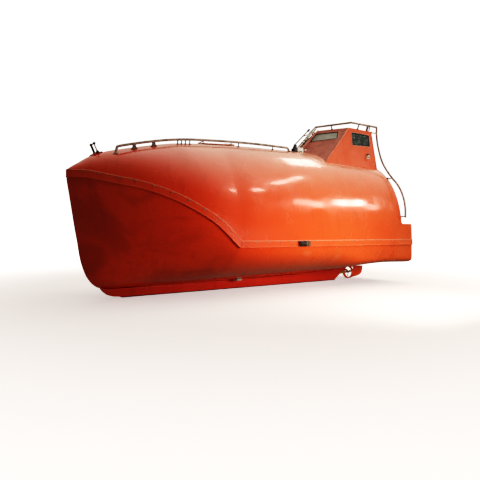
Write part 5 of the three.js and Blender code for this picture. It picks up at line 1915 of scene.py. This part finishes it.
def helm_wheel(console):
    hub = WHEEL_HUB
    axis = Vector((-0.134, 0, 0.068)).normalized()
    side = Vector((0, 1, 0))
    rise = axis.cross(side).normalized()
    console.tube([(-1.72, 0, up(2.38)), hub], 0.0135, 1)
    rim = []
    for i in range(WHEEL_SIDES):
        angle = 2 * math.pi * i / WHEEL_SIDES
        rim.append(hub + side * WHEEL_RADIUS * math.cos(angle) + rise * WHEEL_RADIUS * math.sin(angle))
    console.tube(rim, 0.0115, 1, 12, closed=True)
    for i in range(3):
        angle = 2 * math.pi * i / 3
        end = hub + side * 0.135 * math.cos(angle) + rise * 0.135 * math.sin(angle)
        console.tube([hub, end], 0.008, 2, 10)
    console.lathe([(0.03, -0.01), (0.03, 0.01), (0.02, 0.016), (0, 0.017)], hub, axis, 1, 20)


def helm_console():
    outline = [(-1.6003, 2.18), (-1.6003, 2.39), (-1.66, 2.44), (-1.8, 2.395), (-1.72, 2.18)]
    rounded = round_outline(outline, 0.015, 4)
    rows = ((-0.3, -0.008), (-0.293, 0.0), (0.293, 0.0), (0.3, -0.008))
    console = Shape().rings([[(x, y, up(h)) for x, h in grown(rounded, inset)] for y, inset in rows])
    face = Vector((-0.32, 0, 0.95)).normalized()
    for y in (-0.2, -0.1, 0.1, 0.2):
        console.lathe(button(0.032, 0.004, 0.027, 0.005, -0.002), (-1.73, y, up(2.4178)), face, 1)
    helm_wheel(console)
    return console


def make_inside():
    refine("engine_block", "engine_iron", "engine", 0.01)
    refine("helm_casing", "inner_grey", "grey", 0.012)
    settle(helm_seat().build("helm_seat_form", "vinyl dark"), "seat_vinyl", "helm_seat")
    console = helm_console().build("helm_console_form", "grey dark bright")
    settle(console, "inner_grey", "helm_console")


# Stern gear

NOZZLE_BORE = 0.103
NOZZLE_RADIUS = 0.126
PROPELLER_RADIUS = 0.092
NOZZLE_SIDES = 64
GEAR_SMOOTH = 35

# Fin with two arms round the stream: X and height
FIN = [
    (-2.556, 0.016), (-2.661, 0.031), (-2.79, 0.047), (-2.853, 0.062), (-2.905, 0.088),
    (-2.935, 0.12), (-2.955, 0.18), (-2.966, 0.252), (-2.556, 0.256), (-2.556, 0.241),
    (-2.664, 0.234), (-2.686, 0.212), (-2.694, 0.14), (-2.686, 0.074), (-2.664, 0.052),
    (-2.556, 0.031),
]


def nozzle_section():
    """Section of the nozzle's ring: radius, distance forward of the stock."""
    bore, outer = NOZZLE_BORE, NOZZLE_RADIUS
    return [
        (bore + 0.008, 0.033), (outer - 0.006, 0.0325), (outer - 0.001, 0.028), (outer, 0.02),
        (outer, 0.0), (outer - 0.004, -0.03), (outer - 0.008, -0.033), (bore + 0.008, -0.033),
        (bore + 0.004, -0.025), (bore, -0.008), (bore, 0.014), (bore + 0.003, 0.027),
    ]


def round_shaft(distance, radius, angle):
    """Point round the shaft's line, at a distance forward of the stock."""
    return (STOCK_X + distance, radius * math.cos(angle), up(SHAFT_HEIGHT) + radius * math.sin(angle))


def make_nozzle():
    shape = Shape()
    angles = [2 * math.pi * i / NOZZLE_SIDES for i in range(NOZZLE_SIDES)]
    shape.rings([[round_shaft(distance, radius, angle) for radius, distance in nozzle_section()]
                 for angle in angles], 0, closed=True)
    fin = round_outline(FIN, 0.006, 2)
    shape.rings([[(x, y, up(h)) for x, h in grown(fin, inset)] for y, inset in
                 ((-0.009, -0.004), (-0.006, 0), (0.006, 0), (0.009, -0.004))], 0)
    shape.tube([(STOCK_X, 0, up(0.254)), (STOCK_X, 0, up(0.425))], 0.014, 1, 20)
    collar = [(0.026, 0), (0.024, 0.005), (0.018, 0.0075), (0.014, 0.0075)]
    shape.lathe(collar, (STOCK_X, 0, up(0.258)), (0, 0, 1), 0, 20)
    nozzle = shape.build("steering_nozzle_form", "gear steel", GEAR_SMOOTH)
    settle(nozzle, "hull_gelcoat", "steering_nozzle", body="nozzle")


# Propeller blade: sections, points of each, radius at the root, and pitch in degrees with its fall
BLADE_SECTIONS = 12
BLADE_POINTS = 14
BLADE_ROOT = 0.018
BLADE_PITCH = 62
BLADE_TWIST = 34


def blade_rings(turn):
    """Twisted propeller blade as closed sections from the hub to the tip."""
    rings = []
    for t in np.linspace(0, 1, BLADE_SECTIONS):
        radius = BLADE_ROOT + (PROPELLER_RADIUS - 0.0185) * t
        chord = 0.012 + 0.044 * math.sin(math.pi * min(1, 0.16 + 0.8 * t))**0.8
        if t > 0.9:
            chord *= 0.62
        pitch = math.radians(BLADE_PITCH - BLADE_TWIST * t)
        thick = 0.0045 * (1 - 0.6 * t)
        ring = []
        for k in range(BLADE_POINTS):
            angle = 2 * math.pi * k / BLADE_POINTS
            u, v = math.cos(angle) * chord / 2, math.sin(angle) * thick
            along_x = u * math.sin(pitch) + v * math.cos(pitch)
            across = (u * math.cos(pitch) - v * math.sin(pitch)) / radius + turn
            ring.append(round_shaft(along_x * 0.8, radius, across))
        rings.append(ring)
    return rings


def make_propeller():
    shape = Shape()
    centre = (STOCK_X, 0, up(SHAFT_HEIGHT))
    for i in range(3):
        shape.rings(blade_rings(2 * math.pi * i / 3 + 0.4), 0)
    hub = [(0.0155, 0.03), (0.017, 0.028), (0.019, 0.02), (0.019, -0.018), (0.015, -0.026),
           (0.008, -0.031), (0, -0.032)]
    shape.lathe(hub, centre, (1, 0, 0), 0, 32)
    shape.tube([centre, (-2.3, 0, up(SHAFT_HEIGHT))], 0.0148, 1, 24)
    propeller = shape.build("propeller_form", "bronze steel", GEAR_SMOOTH)
    settle(propeller, "bronze", "propeller", body="propeller")


def make_tubes():
    tube = [(0.0155, -0.245), (0.024, -0.245), (0.026, -0.24), (0.026, -0.22), (0.026, -0.001),
            (0.0155, -0.001)]
    shape = Shape().lathe(tube, (-2.195, 0, up(SHAFT_HEIGHT)), (1, 0, 0), 0, 32)
    settle(shape.build("stern_tube_form", "bronze", GEAR_SMOOTH), "bronze", "stern_tube")
    refine("rudder_tube", "stainless", "steel", 0.001)


set_studio()
make_hull()
make_canopy()
make_bands()
make_wheelhouse()
make_panes()
make_foot_bead()
make_corner_beads()
make_top_rails()
make_roof_rail()
make_aft_rails()
make_front_rails()
make_bow_lug()
make_canopy_lamp()
make_side_lamp()
make_lashing_brackets()
make_anodes()
make_keel()
make_stern()
make_door()
make_hatch()
make_inside()
make_nozzle()
make_propeller()
make_tubes()
